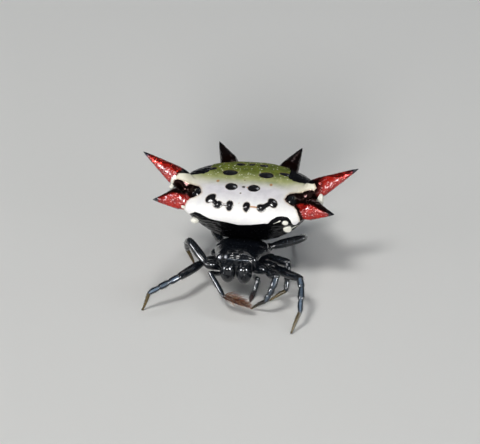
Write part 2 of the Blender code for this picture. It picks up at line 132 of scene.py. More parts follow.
DARK_EDGE = (  # dark above it
    (2.50, 5.66), (3.10, 5.72), (3.50, 6.02), (4.04, 6.00), (4.23, 5.98), (4.45, 5.90), (4.69, 5.78),
    (4.97, 5.66), (5.25, 5.57), (5.60, 5.46),
)
RIGHT_EDGE_RISE = (0.08, 3.9, 4.3)  # its rise on the right spine, and the stretch that it comes over
TONGUE_EDGE = (  # the white tongue that runs out on the side spine's root ends above it
    (2.40, 7.60), (2.50, 7.42), (2.90, 7.29), (3.20, 7.22), (3.80, 7.23), (4.20, 7.20), (4.80, 7.72),
)
TONGUE_START = 2.45  # how far from the middle it starts
COLLAR = ((4.30, 6.98), (4.44, 6.82), (4.54, 6.50), 0.085)  # a pale bow on the right side spine's root
COLLAR_REAR = 0.4  # how far back the bow goes
OLIVE_SAG = (0.7, 2.2, 3.8)  # how much further back olive starts at the sides, and the stretch for that
CREAM_SPREAD = (2.0, 3.6)  # the shield's sides turn cream between these distances
# Pale warts: place and half sizes.
WARTS = (
    ((4.57, 3.56, 5.24), (0.20, 0.26, 0.42)),
    ((-4.60, 3.60, 5.26), (0.16, 0.20, 0.19)),
    ((2.72, 2.50, 3.64), (0.27, 0.16, 0.25)),
    ((2.64, 2.06, 4.28), (0.20, 0.12, 0.15)),
    ((-2.98, 2.50, 3.70), (0.26, 0.20, 0.21)),
    ((-3.66, 2.30, 4.66), (0.12, 0.08, 0.10)),
)
PALE_LINES = (
    ((1.94, 1.88, 4.21), (2.36, 1.93, 4.42), 0.03),
    ((2.84, 2.72, 3.36), (3.30, 3.00, 3.66), 0.07),
    ((3.62, 2.95, 4.10), (4.05, 2.90, 4.36), 0.06),
)
# Relief: a pit is a hollow with a bead in it.
PIT_DEPTH, BEAD_HEIGHT, KNOB_HEIGHT = 0.045, 0.07, 0.14
BEAD_REACH, KNOB_REACH = 0.22, 0.26  # how deep inside its edge each is at its full height
BEAD_POWER = 0.7  # below 1 for a round rise
BELLY_STEP, RED_STEP = 0.05, 0.04  # how far these lie in
PALE_STEP = 0.05  # and how far the pale lines stand out
SWELL_HEIGHT, LEATHER_HEIGHT = 0.022, 0.005
FOLD_HEIGHT, FOLD_COUNT, CREASE_RATE = 0.022, 34, 19
FOLD_WANDER, CREASE_WANDER = 2.6, 3.0
WRINKLE_SHARES = (0.55, 0.35, 0.5)  # folds, creases and small ripples

# Spines on the left side: root, tip, girth, how far both roots sit to the left, where the colour starts,
# where the bright red starts (beyond the tip for the rear spine, which is painted dark as shade over its
# red), and the height of the crest on top.
SPINES = {
    "front": ((3.06, 3.22, 4.77), (5.56, 2.46, 4.90), 0.84, 0.0, 0.80, 0.80, 0.16),
    "side": ((2.90, 3.47, 5.12), (6.65, 5.09, 6.74), 0.83, 0.0, 1.58, 1.60, 0.0),
    "rear": ((1.33, 6.16, 4.70), (2.63, 9.00, 5.83), 0.84, 0.36, 0.90, 9.00, 0.0),
}
SPINE_PROFILE = (  # share of the way out, and of the girth
    (0.0, 0.35), (0.12, 0.62), (0.30, 0.78), (0.45, 0.70), (0.74, 0.36), (0.94, 0.12), (1.0, 0.02),
)
SPINE_COLUMNS, FOOT_ROWS, CONE_ROWS = 64, 16, 60
SPINE_FLARE, SPINE_FOOT = 1.22, 0.20  # the foot's spread, and the share of the spine that it rises over
SWEEP_STRENGTH, SPINE_SUNK = 0.9, 0.08  # how far the foot follows both its ends, and how deep it starts
CREST_PLACE, CREST_SPREAD = 0.5, 0.24
COLOUR_REACH = 1.05  # a spine's colour goes this many girths from its axis
GRAIN_HEIGHT, GRAIN_SIZE = 0.012, 0.16
GLINT_WAY = np.array((0.0, -1.0, 0.15))  # pale grains, painted glints, lie on what faces ahead
GLINT_FACING = (0.82, 0.95)  # how squarely, for none and for all of them

# Cephalothorax: a loft along y. Each station is y, half width, top z, bottom z.
HEAD_STATIONS = (
    (-0.03, 0.50, 2.58, 2.30),
    (0.00, 0.90, 2.66, 2.20),
    (0.14, 1.22, 2.84, 2.02),
    (0.50, 1.34, 2.92, 1.50),
    (1.00, 1.38, 2.94, 1.24),
    (1.60, 1.56, 2.86, 1.14),
    (2.20, 1.70, 2.74, 1.12),
    (2.80, 1.62, 2.56, 1.16),
    (3.25, 1.32, 2.34, 1.26),
    (3.55, 0.76, 2.06, 1.46),
)
HEAD_SQUARENESS, HEAD_ROWS, HEAD_COLUMNS = 2.7, 120, 120
HEAD_RIPPLE, JAW_RIPPLE = 0.003, 0.003
BROW = (0.02, 2.62, 0.80, 0.045)  # y, z, half width and height of the ridge over the face
BROW_SPREAD = 0.07
BROW_HIGHLIGHT = (0.4, 0.035, 0.12, 0.62)  # strength, spread, middle and half width of its silvery line, a painted highlight
GROOVE = (1.42, 0.30, 0.09, 0.07)  # y at the middle, slant to the rear, half width and depth
DIMPLE = (2.35, 0.14, 0.05)  # y, spread and depth of the hollow behind it
HEAD_TOP = (2.2, 2.6)  # these two fade in between these heights
HEAD_SWELLINGS = (  # place, spread and height
    ((-0.98, 0.02, 2.68), 0.20, 0.08),
    ((-0.62, 0.04, 2.74), 0.17, 0.08),
    ((0.98, 0.04, 2.78), 0.11, 0.05),
)
PEARL_HIGHLIGHT_SHARES = (0.60, 0.35)  # a swelling turns pearly, a painted highlight, between these shares of its spread
EYE_MOUND = (0.17, 0.05)  # spread and height of the swelling that each eye stands on

# Chelicerae and fangs, on the left.
CHELICERA_CENTRE, CHELICERA_HALF = np.array((0.50, -0.06, 1.72)), np.array((0.49, 0.47, 0.66))
CHELICERA_NARROWING = 0.16
JAW_ROWS, JAW_COLUMNS, JAW_POLE_GAP = 56, 64, 0.05
CHELICERA_SWELLINGS = (  # place, spread and height
    ((0.55, -0.34, 2.28), 0.30, 0.07),
    ((0.62, -0.50, 1.82), 0.12, 0.04),
    ((0.40, -0.52, 1.56), 0.10, 0.03),
)
FANG_POINTS = ((0.12, 0.12, -0.48), (0.02, 0.22, -0.59), (-0.11, 0.28, -0.63), (-0.34, 0.34, -0.55))
FANG_RADII = (0.14, 0.12, 0.09, 0.015)

# Legs: a ring of roots round the cephalothorax, counted from the front pair.
COXA_RING_CENTRE, COXA_RING_HALF = np.array((0.0, 1.78, 1.52)), (1.62, 1.80)
COXA_ANGLES = {1: -38.0, 2: -13.0, 3: 21.0, 4: 46.0}  # degrees behind the straight side
COXA_ROOT_SHARE = 0.55
TROCHANTER_SHARES = {1: 1.40, 2: 1.36, 3: 1.18, 4: 1.30}
TROCHANTER_RISES = {1: 0.46, 2: 0.10, 3: 0.0, 4: 0.20}
PATELLA_LENGTHS = {1: 0.70, 2: 0.66, 3: 0.46, 4: 0.62}
PATELLA_STRAIGHTNESS = 0.25  # how much a patella follows its femur rather than its tibia
TIBIA_SHARE = 0.52  # of the stretch that tibia and metatarsus make together
STANCE = {  # knee, heel (where metatarsus meets tarsus) and foot
    "leg_1_right": ((-3.12, 1.50, 2.80), (-3.58, 3.00, 1.33), (-3.25, 3.52, 0.0)),
    "leg_2_right": ((-3.29, -1.00, 1.68), (-4.89, -2.20, 1.11), (-5.25, -2.46, 0.0)),
    "leg_3_right": ((-1.90, 3.40, 0.98), (-1.76, 4.35, 0.74), (-1.62, 5.05, 0.0)),
    "leg_4_right": ((-2.25, 4.90, 1.76), (-2.35, 6.55, 1.10), (-2.40, 7.80, 0.0)),
    "leg_1_left": ((2.66, -1.20, 2.42), (2.10, -1.70, 0.96), (1.16, -1.24, 0.0)),
    "leg_2_left": ((4.01, -0.70, 2.12), (4.33, -2.70, 1.02), (3.95, -3.60, 0.0)),
    "leg_3_left": ((2.94, 1.26, 2.03), (3.02, 0.30, 0.62), (2.09, -0.12, 0.0)),
    "leg_4_left": ((3.41, 4.20, 2.10), (3.07, 6.15, 1.10), (2.44, 7.20, 0.0)),
}
PALPS = {  # root, raised elbow, wrist and tip
    "palp_right": ((-1.00, 0.75, 1.14), (-1.46, -0.70, 1.98), (-0.48, -1.62, 0.98), (1.00, -2.00, 0.66)),
    "palp_left": ((1.00, 0.75, 1.14), (1.50, -0.80, 1.90), (1.35, -1.12, 1.30), (1.08, -1.22, 0.56)),
}
SKIN_NODES = ("leg_", "palp_", "spinnerets", "cephalothorax")  # starts of the skin's nodes' names
# Limb segments: greatest radius, how far each bows up, and the radius's share from near end to far end.
SEGMENTS = {
    "coxa": (0.33, 0.0, ((0, 0.80), (0.3, 1.0), (0.8, 1.0), (1, 0.80))),
    "trochanter": (0.25, 0.0, ((0, 0.85), (0.5, 1.0), (1, 0.80))),
    "femur": (0.275, 0.05, ((0, 0.62), (0.1, 0.80), (0.35, 1.0), (0.65, 0.98), (0.9, 0.88), (1, 0.72))),
    "patella": (0.215, 0.02, ((0, 0.74), (0.2, 0.92), (0.6, 1.0), (0.9, 0.92), (1, 0.74))),
    "tibia": (0.195, 0.0, ((0, 0.66), (0.14, 0.84), (0.5, 1.0), (0.85, 0.98), (1, 0.76))),
    "metatarsus": (0.165, 0.02, ((0, 0.72), (0.12, 0.90), (0.45, 1.0), (0.85, 0.86), (1, 0.66))),
    "tarsus": (0.115, 0.03, ((0, 0.80), (0.12, 1.0), (0.5, 0.82), (0.85, 0.58), (1, 0.44))),
    "palp_femur": (0.15, 0.05, ((0, 0.8), (0.3, 0.95), (0.8, 1.0), (1, 0.74))),
    "palp_tibia": (0.15, 0.04, ((0, 0.72), (0.2, 0.92), (0.7, 1.0), (1, 0.74))),
    "palp_tarsus": (0.155, 0.06, ((0, 0.72), (0.2, 0.95), (0.5, 1.0), (0.8, 0.74), (1, 0.30))),
}
SEGMENT_ROWS, SEGMENT_COLUMNS, CAP_ROWS = 26, 28, 6
CAP_START, POLE_GAP = math.radians(82), 0.06  # the outermost rings of a cap and of a ball, as angles
LEG_KINDS = ("femur", "patella", "tibia", "metatarsus", "tarsus")  # beyond the trochanter
PALP_KINDS = ("palp_femur", "palp_tibia", "palp_tarsus")
COXA_SHORT, TROCHANTER_START = 0.08, 0.05  # how far before the trochanter's middle these end and start
HIP_OUT = 0.16  # how far beyond it the femur starts
TOE_LIFT = 0.012  # how far off the floor a toe ends
# Painted silvery sheen: its strength on each leg, on a leg's segments and on the palps. It lies on what
# faces up and ahead, as a faint painted veil of sheen with a bright painted highlight streak in it. Both
# have a least and a full facing.
PAINTED_LEG_SHEENS = {"leg_2_right": 1.0, "leg_1_left": 0.45, "leg_2_left": 1.0, "leg_3_left": 0.1}
PAINTED_SHEEN_SHARES = {"patella": 0.7, "tibia": 0.5, "metatarsus": 1.0}
PAINTED_PALP_SHEEN = {"palp_tibia": 0.1}
SHEEN_WAY = np.array((0.15, -0.85, 0.50))
SHEEN_VEIL, SHEEN_STREAK = (0.2, 0.8), (0.86, 1.0)
SHEEN_VEIL_SHARE = 0.12  # of a full bloom
GLINTS = 0.6  # strength of a femur's painted glints, pale grains inside its painted highlight streak
# How brown each segment is at both ends, and the foot of the left front leg and the palps' ends.
LEG_TANS = {"patella": (0.1, 0.0), "metatarsus": (0.0, 0.1), "tarsus": (0.4, 0.95)}
TROCHANTER_TAN, DARK_FOOT_TAN = (0.1, 0.1), (0.1, 0.5)
PALP_TANS = {"palp_right": (0.2, 0.65), "palp_left": (0.05, 0.45)}
JOINT_BALL = 1.008  # radius of the soft joint between two segments, as a share of the thinner one's end
JOINT_TAN = 0.45

# Spinnerets: a ring under the belly's tip and four short cones.
SPINNERET_TOP, SPINNERET_RING = -0.25, (0.44, 0.16)  # the ring's level, and its radius and height
SPINNERET_SUNK = 0.30  # how far inside the belly the ring starts
SPINNERET_FOLDS = (14, 0.02)  # count and height of the ring's folds
SPINNERET_COLUMNS, SPINNERET_ROWS = 48, 20
SPINNERET_CONE = (0.17, 0.42, 0.19)  # radius, length, spread
CONE_ROOT = 0.4  # how far down the ring a cone starts
CONE_CLOSING = 0.4  # how far out its tip is, as a share of its root

# Claws: length, how far both stand apart, radius at the root and at the tip, and height of the tip.
CLAW = (0.085, 0.05, 0.018, 0.006, 0.014)

# Hairs: how many on each kind of segment, their length, how far they stand off it, their tone, and the
# least rise of the skin under them, from -1 for all round to 1 for the very top.
HAIRS = {
    "coxa": (24, 0.14, 0.4, 0.06, -1.0),
    "femur": (60, 0.16, 0.4, 0.06, -1.0),
    "patella": (26, 0.16, 0.5, 0.06, -1.0),
    "tibia": (60, 0.18, 0.5, 0.06, -1.0),
    "metatarsus": (64, 0.16, 0.45, 0.06, -1.0),
    "tarsus": (70, 0.13, 0.4, 0.06, -1.0),
    "palp_femur": (36, 0.15, 0.4, 0.06, -1.0),
    "palp_tibia": (60, 0.20, 0.5, 0.06, -1.0),
    "palp_tarsus": (150, 0.16, 0.5, 0.1, -1.0),
    "palp_brush": (760, 0.46, 1.0, 0.70, -0.15),
    "head": (90, 0.11, 0.25, 0.06, -1.0),
    "jaw": (26, 0.12, 0.35, 0.06, -1.0),
    "spinneret": (26, 0.14, 0.4, 0.06, -1.0),
}
HAIR_RADIUS = 0.0055
# Levels of a hair: share of its length, bend along the segment in lengths, and share of its thickness.
HAIR_LEVELS = ((-0.02, 0.0, 1.0), (0.5, 0.0, 0.75), (1.0, 0.22, 0.12))
HAIR_POINTS = 3 * len(HAIR_LEVELS)
HAIR_TAPER = (1.25, 0.6)  # a hair's length at the segment's near end, and how much less at the far one
HAIR_LENGTHS, HAIR_GIRTHS, HAIR_TONES = (0.55, 1.25), (0.8, 1.2), (0.5, 1.5)  # spreads of these
HAIR_TURN = 0.18  # how much hairs lean to either side
HAIR_PATCH = 0.003  # size of a hair's patch on the hair map
MAP_CELLS = 10  # the hair map has this many cells a side, which the surfaces take in turn

# Edges of the shield's patches: the mark, how much it wobbles, and the depths between which it turns.
PATCH_EDGES = {
    "belly": ("belly", 1.0, -0.015, 0.02),
    "pits": ("pits", 1.0, -0.02, 0.015),
    "rims": ("pits", 1.0, -0.06, -0.01),
    "knobs": ("knobs", 0.5, -0.02, 0.02),
    "rust": ("rust", 1.0, -0.03, 0.03),
    "pale": ("pale", 0.6, -0.02, 0.02),
    "red": ("red", 1.0, -0.02, 0.02),
    "fringe": ("red", 1.6, -0.13, 0.0),
}

# Colours, in linear light. Where there are two, they mix in clouds.
WHITES = (0.93, 0.93, 0.91), (0.86, 0.85, 0.87)
LILACS = (0.84, 0.82, 0.86), (0.75, 0.73, 0.77)
CREAM = (0.80, 0.77, 0.62)
LIMES = (0.48, 0.50, 0.21), (0.35, 0.39, 0.13)
OLIVES = (0.17, 0.21, 0.008), (0.080, 0.11, 0.003)
# Pale dots on the rear's grains: painted glints.
GRANULE_GLINT = (0.80, 0.84, 0.62)
PIT_RIM, PIT_BLACK = (0.30, 0.20, 0.07), (0.004, 0.003, 0.004)
RUST = (0.50, 0.21, 0.04)
RED_FRINGE = (0.36, 0.20, 0.06)
BELLY_BLACK, KNOB_BLACK = (0.004, 0.004, 0.006), (0.004, 0.004, 0.005)
SCARLETS = (0.44, 0.014, 0.006), (0.25, 0.006, 0.005)
# The first of these is pale grains painted as glints on the spines' fronts.
# The second of these is the brown-black of the dark field and the spines' roots, which on the rear spines
# is painted shade.
SPINE_GRAIN_GLINT, SPINE_DARK_AND_SHADE, SPINE_TIP = (0.95, 0.52, 0.52), (0.014, 0.004, 0.003), (0.006, 0.006, 0.012)
WART = (0.88, 0.87, 0.78)
JETS = (0.003, 0.004, 0.006), (0.006, 0.008, 0.012)
HIGHLIGHT_SILVERS = (0.21, 0.29, 0.40), (0.62, 0.62, 0.66)  # the limbs' painted bluish sheen and the head's painted pearly highlight spots
BROWNS = (0.13, 0.092, 0.030), (0.15, 0.040, 0.014)  # the feet and the right palp's end
LENSES = (0.004, 0.003, 0.003), (0.016, 0.008, 0.004)
DARK_HAIR, GREY_HAIR, CREAM_HAIR = (0.012, 0.014, 0.018), (0.13, 0.15, 0.17), (0.62, 0.42, 0.21)
RUST_HAIR, BROWN_HAIR = (0.30, 0.062, 0.014), (0.045, 0.011, 0.006)
PAPERS = (0.84, 0.84, 0.82), (0.87, 0.87, 0.85)
SKY = (0.80, 0.88, 1.0)

# Lights: turn and height in degrees, size in metres, power, colour, and whether it shows only in gloss.
LIGHT_DISTANCE, LIGHT_AIM = 0.40, (0.0, 0.0, 0.004)
LIGHTS = {
    "key": (2, 16, 0.08, 1.00, (1.0, 0.98, 0.95), False),
    "left": (62, 18, 0.12, 3.0, (0.94, 0.97, 1.0), True),
    "right": (-56, 18, 0.12, 3.0, (0.94, 0.97, 1.0), True),
    "top": (-32, 62, 0.09, 0.60, (1.0, 0.99, 0.97), False),
    "rim": (160, 50, 0.12, 0.16, (0.92, 0.96, 1.0), False),
}
SKY_STRENGTH = 0.08
FLOOR_RADIUS = 1.5  # in metres

# View: where the camera looks, its distance, turn and height, its lens and the width of its sensor.
CAMERA_AIM, CAMERA_DISTANCE = (-0.293, 3.093, 3.497), 150.0
CAMERA_TURN, CAMERA_HEIGHT = math.radians(9.87), math.radians(28.91)
CAMERA_LENS, SENSOR_WIDTH = 184.5, 36.0


# Shader maths -------------------------------------------------------------------------------------


class Amount:
    """A number that varies over a surface. Each sum with it adds the Math node that works it out."""

    def __init__(self, finish, socket):
        self.finish = finish
        self.socket = socket

    def math(self, operation, first, second):
        """What one Math node makes of two numbers."""
        return self.finish.amount("ShaderNodeMath", {"operation": operation}, first, second)

    def __add__(self, other):
        return self.math("ADD", self, other)

    def __radd__(self, other):
        return self.math("ADD", other, self)

    def __sub__(self, other):
        return self.math("SUBTRACT", self, other)

    def __rsub__(self, other):
        return self.math("SUBTRACT", other, self)

    def __mul__(self, other):
        return self.math("MULTIPLY", self, other)

    def most(self, other):
        """The greater of both numbers."""
        return self.math("MAXIMUM", self, other)

    def step(self, low, high):
        """0 where the number is below low, 1 above high and smooth between."""
        settings = {"interpolation_type": "SMOOTHSTEP"}
        return self.finish.amount("ShaderNodeMapRange", settings, self, low, high, 0.0, 1.0)


class Finish:
    """A material of one Principled shader, and what feeds it."""

    def __init__(self, name, **constants):
        self.material = bpy.data.materials.new(name)
        self.material.use_nodes = True
        self.tree = self.material.node_tree
        self.shader = self.tree.nodes["Principled BSDF"]
        self.feed(**constants)
        place = self.node("ShaderNodeTexCoord", {}).outputs["Object"]
        self.place = self.node("ShaderNodeVectorMath", {"operation": "SCALE"}, place, 1 / MM).outputs[0]

    def connect(self, socket, value):
        """Links value to the socket, or sets it there if it is a plain number or colour."""
        value = getattr(value, "socket", value)
        if isinstance(value, bpy.types.NodeSocket):
            self.tree.links.new(value, socket)
        elif isinstance(value, tuple) and len(value) == 3 and socket.type == "RGBA":
            socket.default_value = (*value, 1.0)
        else:
            socket.default_value = value

    def node(self, kind, settings, *values, **named):
        """A node of that kind: first its settings, then its open sockets in their order or by name."""
        node = self.tree.nodes.new(kind)
        for setting, value in settings.items():
            setattr(node, setting, value)
        for socket, value in zip([s for s in node.inputs if s.enabled], values):
            self.connect(socket, value)
        for name, value in named.items():
            self.connect(node.inputs[name.replace("_", " ").title()], value)
        return node

    def amount(self, kind, settings, *values, **named):
        """The first output of such a node, as a number."""
        return Amount(self, self.node(kind, settings, *values, **named).outputs[0])

    def mark(self, name):
        """The number kept under that name at each point of the piece."""
        return Amount(self, self.node("ShaderNodeAttribute", {"attribute_name": name}).outputs["Fac"])

    def noise(self, size, detail=3.0):
        """A cloudy number about 0, from -1 to 1, whose patches are size across."""
        cloud = self.amount("ShaderNodeTexNoise", {}, Vector=self.place, Scale=1 / size, Detail=detail)
        return (cloud - 0.5) * 2.0

    def grains(self, size, spread=0.62):
        """1 at the middle of each round grain, 0 past spread times their distance, which is size."""
        cells = self.amount("ShaderNodeTexVoronoi", {}, Vector=self.place, Scale=1 / size)
        return 1.0 - cells.step(0.0, spread)

    def blend(self, share, low, high):
        """The colour low where share is 0 and high where it is 1."""
        node = self.node("ShaderNodeMix", {"data_type": "RGBA"}, share, low, high)
        return node.outputs["Result"] if "Result" in node.outputs else node.outputs[2]

    def feed(self, **values):
        """Sets or links the shader's own sockets by name."""
        for name, value in values.items():
            self.connect(self.shader.inputs[name.replace("_", " ").replace("Ior", "IOR")], value)

    def raise_by(self, height, reach):
        """Bumps the surface by height, in millimetres times reach."""
        bump = self.node("ShaderNodeBump", {}, Strength=1.0, Distance=reach * MM, Height=height)
        self.feed(Normal=bump.outputs["Normal"])


# Surfaces -----------------------------------------------------------------------------------------


def to_frame(points):
    """Places in millimetres behind the head's front, as metres in the shared frame. None is below the
    floor."""
    places = np.asarray(points) * MM + np.array((0.0, FRONT, 0.0))
    return np.maximum(places, (-1.0, -1.0, 0.0))


def unit(vectors):
    """The same vectors at length 1."""
    return vectors / np.maximum(np.linalg.norm(vectors, axis=-1, keepdims=True), 1e-9)


def smooth_table(rows, count):
    """Catmull-Rom samples through the rows of a small table."""
    rows = np.array(rows, float)
    padded = np.vstack([2 * rows[0] - rows[1], rows, 2 * rows[-1] - rows[-2]])
    places = np.linspace(0, len(rows) - 1, count)
    index = np.minimum(places.astype(int), len(rows) - 2)
    t = (places - index)[:, None]
    p0, p1, p2, p3 = (padded[index + k] for k in range(4))
    return 0.5 * (
        2 * p1
        + (p2 - p0) * t
        + (2 * p0 - 5 * p1 + 4 * p2 - p3) * t**2
        + (3 * p1 - p0 - 3 * p2 + p3) * t**3
    )


def ripple(points, size, seed):
    """A smooth random number from about -1 to 1: the mean of 14 sine waves of about that size, each in
    its own direction, times 2.2."""
    draw = np.random.default_rng(seed)
    ways = unit(draw.normal(size=(14, 3))) * 2 * math.pi / (size * draw.uniform(0.7, 1.5, (14, 1)))
    return np.sin(points @ ways.T + draw.uniform(0, 2 * math.pi, 14)).mean(axis=-1) * 2.2


def bell(distance, spread):
    """1 at no distance, falling off to 0 over about twice the spread."""
    return np.exp(-((distance / spread) ** 2))


def ease(values, low, high):
    """0 at low and past it, 1 at high and past it, and smooth between."""
    t = np.clip((values - low) / (high - low), 0, 1)
    return t * t * (3 - 2 * t)


def mirrored(point, side):
    """A place on the left, or the same on the right where side is -1."""
    return np.array((point[0] * side, point[1], point[2]))


def ring_angles(count):
    """The turns of that many points evenly round a ring."""
    return np.arange(count) * 2 * math.pi / count


class Surface:
    """A closed surface: rows of points, each row a ring, with a pole past the first and the last one.

    Each of its marks is one number, or one for each point. Its kind says which hairs grow on it."""

    def __init__(self, points, kind="", **marks):
        self.points = points
        self.kind = kind
        self.marks = marks

    def normals(self):
        """Outward unit normals: the slope along the rows crossed with the slope round each ring."""
        along = np.gradient(self.points, axis=0)
        around = (np.roll(self.points, -1, axis=1) - np.roll(self.points, 1, axis=1)) / 2
        normals = unit(np.cross(around, along))
        outward = self.points - self.points.mean(axis=1, keepdims=True)
        return normals * np.sign((normals * outward).sum())

    def raised(self, height):
        """The same surface moved out along its normals by height, a number for each point."""
        return Surface(self.points + self.normals() * height[..., None], self.kind, **self.marks)

    def corners(self):
        """All points in one list, with the two poles last."""
        return np.vstack([self.points.reshape(-1, 3), self.points[0].mean(0), self.points[-1].mean(0)])

    def spread(self, mark):
        """One mark's number at each of the corners, 0 everywhere where it isn't given."""
        values = np.broadcast_to(self.marks.get(mark, 0.0), self.points.shape[:2])
        return np.append(values.ravel(), (values[0].mean(), values[-1].mean()))

    def faces(self):
        """Quads between the rows and a fan of triangles at each pole, all facing outward."""
        rows, columns = self.points.shape[:2]
        ring = np.arange(columns)
        following = (ring + 1) % columns
        start = np.arange(rows - 1)[:, None] * columns
        beyond = start + columns
        quads = [start + ring, start + following, beyond + following, beyond + ring]
        quads = np.stack(quads, axis=-1).reshape(-1, 4)
        last = (rows - 1) * columns
        first_pole, last_pole = np.full(columns, rows * columns), np.full(columns, rows * columns + 1)
        fans = np.vstack(
            [
                np.stack([first_pole, following, ring], axis=-1),
                np.stack([last_pole, last + ring, last + following], axis=-1),
            ]
        )
        corners = self.corners()
        a, b, c, d = (corners[quads[:, k]] for k in range(4))
        volume = (a * (np.cross(b, c) + np.cross(c, d))).sum()
        if volume < 0:
            quads, fans = quads[:, ::-1], fans[:, ::-1]
        return quads.tolist() + fans.tolist()


def make_piece(name, surfaces, finish, replaced=()):
    """One mesh of all the surfaces, with their marks, that stands for the replaced nodes."""
    points, faces, start = [], [], 0
    for surface in surfaces:
        corners = surface.corners()
        faces += [[start + corner for corner in face] for face in surface.faces()]
        points.append(corners)
        start += len(corners)
    mesh = bpy.data.meshes.new(name)
    mesh.from_pydata(to_frame(np.vstack(points)).tolist(), [], faces)
    for mark in sorted({mark for surface in surfaces for mark in surface.marks}):
        values = np.concatenate([surface.spread(mark) for surface in surfaces])
        mesh.attributes.new(mark, "FLOAT", "POINT").data.foreach_set("value", values)
    finish_piece(name, mesh, finish, replaced)


def finish_piece(name, mesh, finish, replaced=()):
    """Puts a mesh into the scene, smooth shaded in its finish, with what it rides on and stands for."""
    mesh.shade_smooth()
    mesh.materials.append(finish.material)
    piece = bpy.data.objects.new(name, mesh)
    bpy.context.scene.collection.objects.link(piece)
    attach(piece, "root")
    if replaced:
        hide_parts(*replaced)


# Shield, belly and spines -------------------------------------------------------------------------


def superellipse(angle, squareness):
    """Points of the unit superellipse, each in the direction of its angle."""
    c, s = np.cos(angle), np.sin(angle)
    reach = (np.abs(c) ** squareness + np.abs(s) ** squareness) ** (-1 / squareness)
    return c * reach, s * reach


def in_shield(points):
    """Places measured in the shield's plane: across, along to the rear, and up from the rim."""
    x, y, z = np.moveaxis(points - ABDOMEN_CENTRE, -1, 0)
    c, s = math.cos(ABDOMEN_TILT), math.sin(ABDOMEN_TILT)
    return np.stack([x, c * y + s * z, c * z - s * y], axis=-1)


def from_shield(places):
    """The other way: places in the shield's plane, in millimetres behind the head's front."""
    x, y, z = np.moveaxis(places, -1, 0)
    c, s = math.cos(ABDOMEN_TILT), math.sin(ABDOMEN_TILT)
    return np.stack([x, c * y - s * z, s * y + c * z], axis=-1) + ABDOMEN_CENTRE


def inside_ovals(x, y, ovals):
    """How deep each place is inside the nearest oval, below 0 outside: (1 - r) times the oval's smaller
    half, where r is the distance from its middle as a share of the way to its edge."""
    deepest = np.full(x.shape, OUTSIDE)
    for across, along, half_across, half_along, turned, middle in ovals:
        c, s = math.cos(math.radians(turned)), math.sin(math.radians(turned))
        dx, dy = np.abs(x - middle) - across, y - along
        r = np.hypot((c * dx + s * dy) / half_across, (c * dy - s * dx) / half_along)
        deepest = np.maximum(deepest, (1 - r) * min(half_across, half_along))
    return deepest


def inside_specks(x, y, specks):
    """How deep each place is inside the nearest round speck, below 0 outside."""
    return np.max([radius - np.hypot(x - across, y - along) for across, along, radius in specks], axis=0)


def inside_outline(x, y, outline):
    """How deep each place is inside a closed outline, below 0 outside: the distance to its nearest edge,
    with the sign of an odd or even number of edges to the right."""
    nearest, odd = np.full(x.shape, -OUTSIDE), np.zeros(x.shape, bool)
    for (x0, y0), (x1, y1) in zip(outline, outline[1:] + outline[:1]):
        run, rise = x1 - x0, y1 - y0
        share = np.clip(((x - x0) * run + (y - y0) * rise) / (run**2 + rise**2), 0, 1)
        nearest = np.minimum(nearest, np.hypot(x - x0 - share * run, y - y0 - share * rise))
        if rise:
            odd ^= ((y0 > y) != (y1 > y)) & (x < x0 + run * (y - y0) / rise)
    return np.where(odd, nearest, -nearest)


def inside_band(points, start, end, half_width):
    """How deep each place is inside a round-ended band: its half width less the distance to its line."""
    start, end = np.array(start), np.array(end)
    way = end - start
    share = np.clip((points - start) @ way / (way @ way), 0, 1)
    return half_width - np.linalg.norm(points - start - share[..., None] * way, axis=-1)


def spine_ends(label, side):
    """Root and tip of a spine on the left, or on the right where side is -1."""
    root, tip, _, shift = SPINES[label][:4]
    return mirrored(root, side) + (shift, 0.0, 0.0), mirrored(tip, side)


def edge_height(x, edge):
    """The height of an open edge, given as points of x and height, at each x."""
    edge_x, edge_y = np.array(edge).T
    return np.interp(x, edge_x, edge_y)


def white_and_belly(points, flat, away, sight):
    """How deep each place lies in the belly's black: under the white front's edge, behind the pale
    part's rear edge, above the tongues' upper edge, and under a slanting line on the flanks."""
    x, y, up = np.moveaxis(flat, -1, 0)
    along_wave, across_wave = REAR_EDGE_WAVES
    turn = ease(away + across_wave * ripple(points, 0.9, 32), *REAR_EDGE_TURN)
    rear_edge = REAR_EDGE_MIDDLE * (1 - turn) + REAR_EDGE_SIDE * turn
    start, short, height, slope = FLANK_EDGE
    edges = (
        edge_height(x, FRONT_EDGE) - up,
        y - rear_edge - along_wave * ripple(points, 0.8, 31),
        np.minimum(sight - edge_height(away, TONGUE_EDGE), away - TONGUE_START),
        height + slope * y - up - 2 * ease(away, start, short),
    )
    return np.max(edges, axis=0)


def spots(flat):
    """How deep each place lies in the black pits, the glossy knobs and the rust marks on the top."""
    x, y, up = np.moveaxis(flat, -1, 0)
    left = x > MARK_MIDDLE
    on_top = up - TOP_LEVEL
    beside = np.stack([np.abs(x - MARK_MIDDLE), y], axis=-1)
    thin = inside_band(beside, *THIN_BRIDGE)
    pits = (
        inside_ovals(x, y, PITS),
        inside_specks(x, y, DARK_SPECKS),
        inside_band(beside, *BRIDGE),
        np.where(left, OUTSIDE, thin),
    )
    rust = (
        inside_ovals(x, y, RUST_SPOTS),
        inside_specks(x, y, RUST_SPECKS),
        np.where(left, thin, OUTSIDE),
    )
    return {
        "pits": np.minimum(np.max(pits, axis=0), on_top),
        "knobs": np.minimum(inside_ovals(x, y, KNOBS), on_top),
        "rust": np.minimum(np.max(rust, axis=0), on_top),
    }


def pale_marks(points, flat, away, sight):
    """How deep each place lies in the pale lines under the left corner and the bow on the right one."""
    seen = np.stack([away, sight], axis=-1)
    start, middle, end, half_width = COLLAR
    near_half = inside_band(seen, start, middle, half_width)
    far_half = inside_band(seen, middle, end, half_width)
    shown = (flat[..., 0] < 0) & (flat[..., 1] < COLLAR_REAR)
    lines = [inside_band(points, *line) for line in PALE_LINES]
    return np.max([*lines, np.where(shown, np.maximum(near_half, far_half), OUTSIDE)], axis=0)


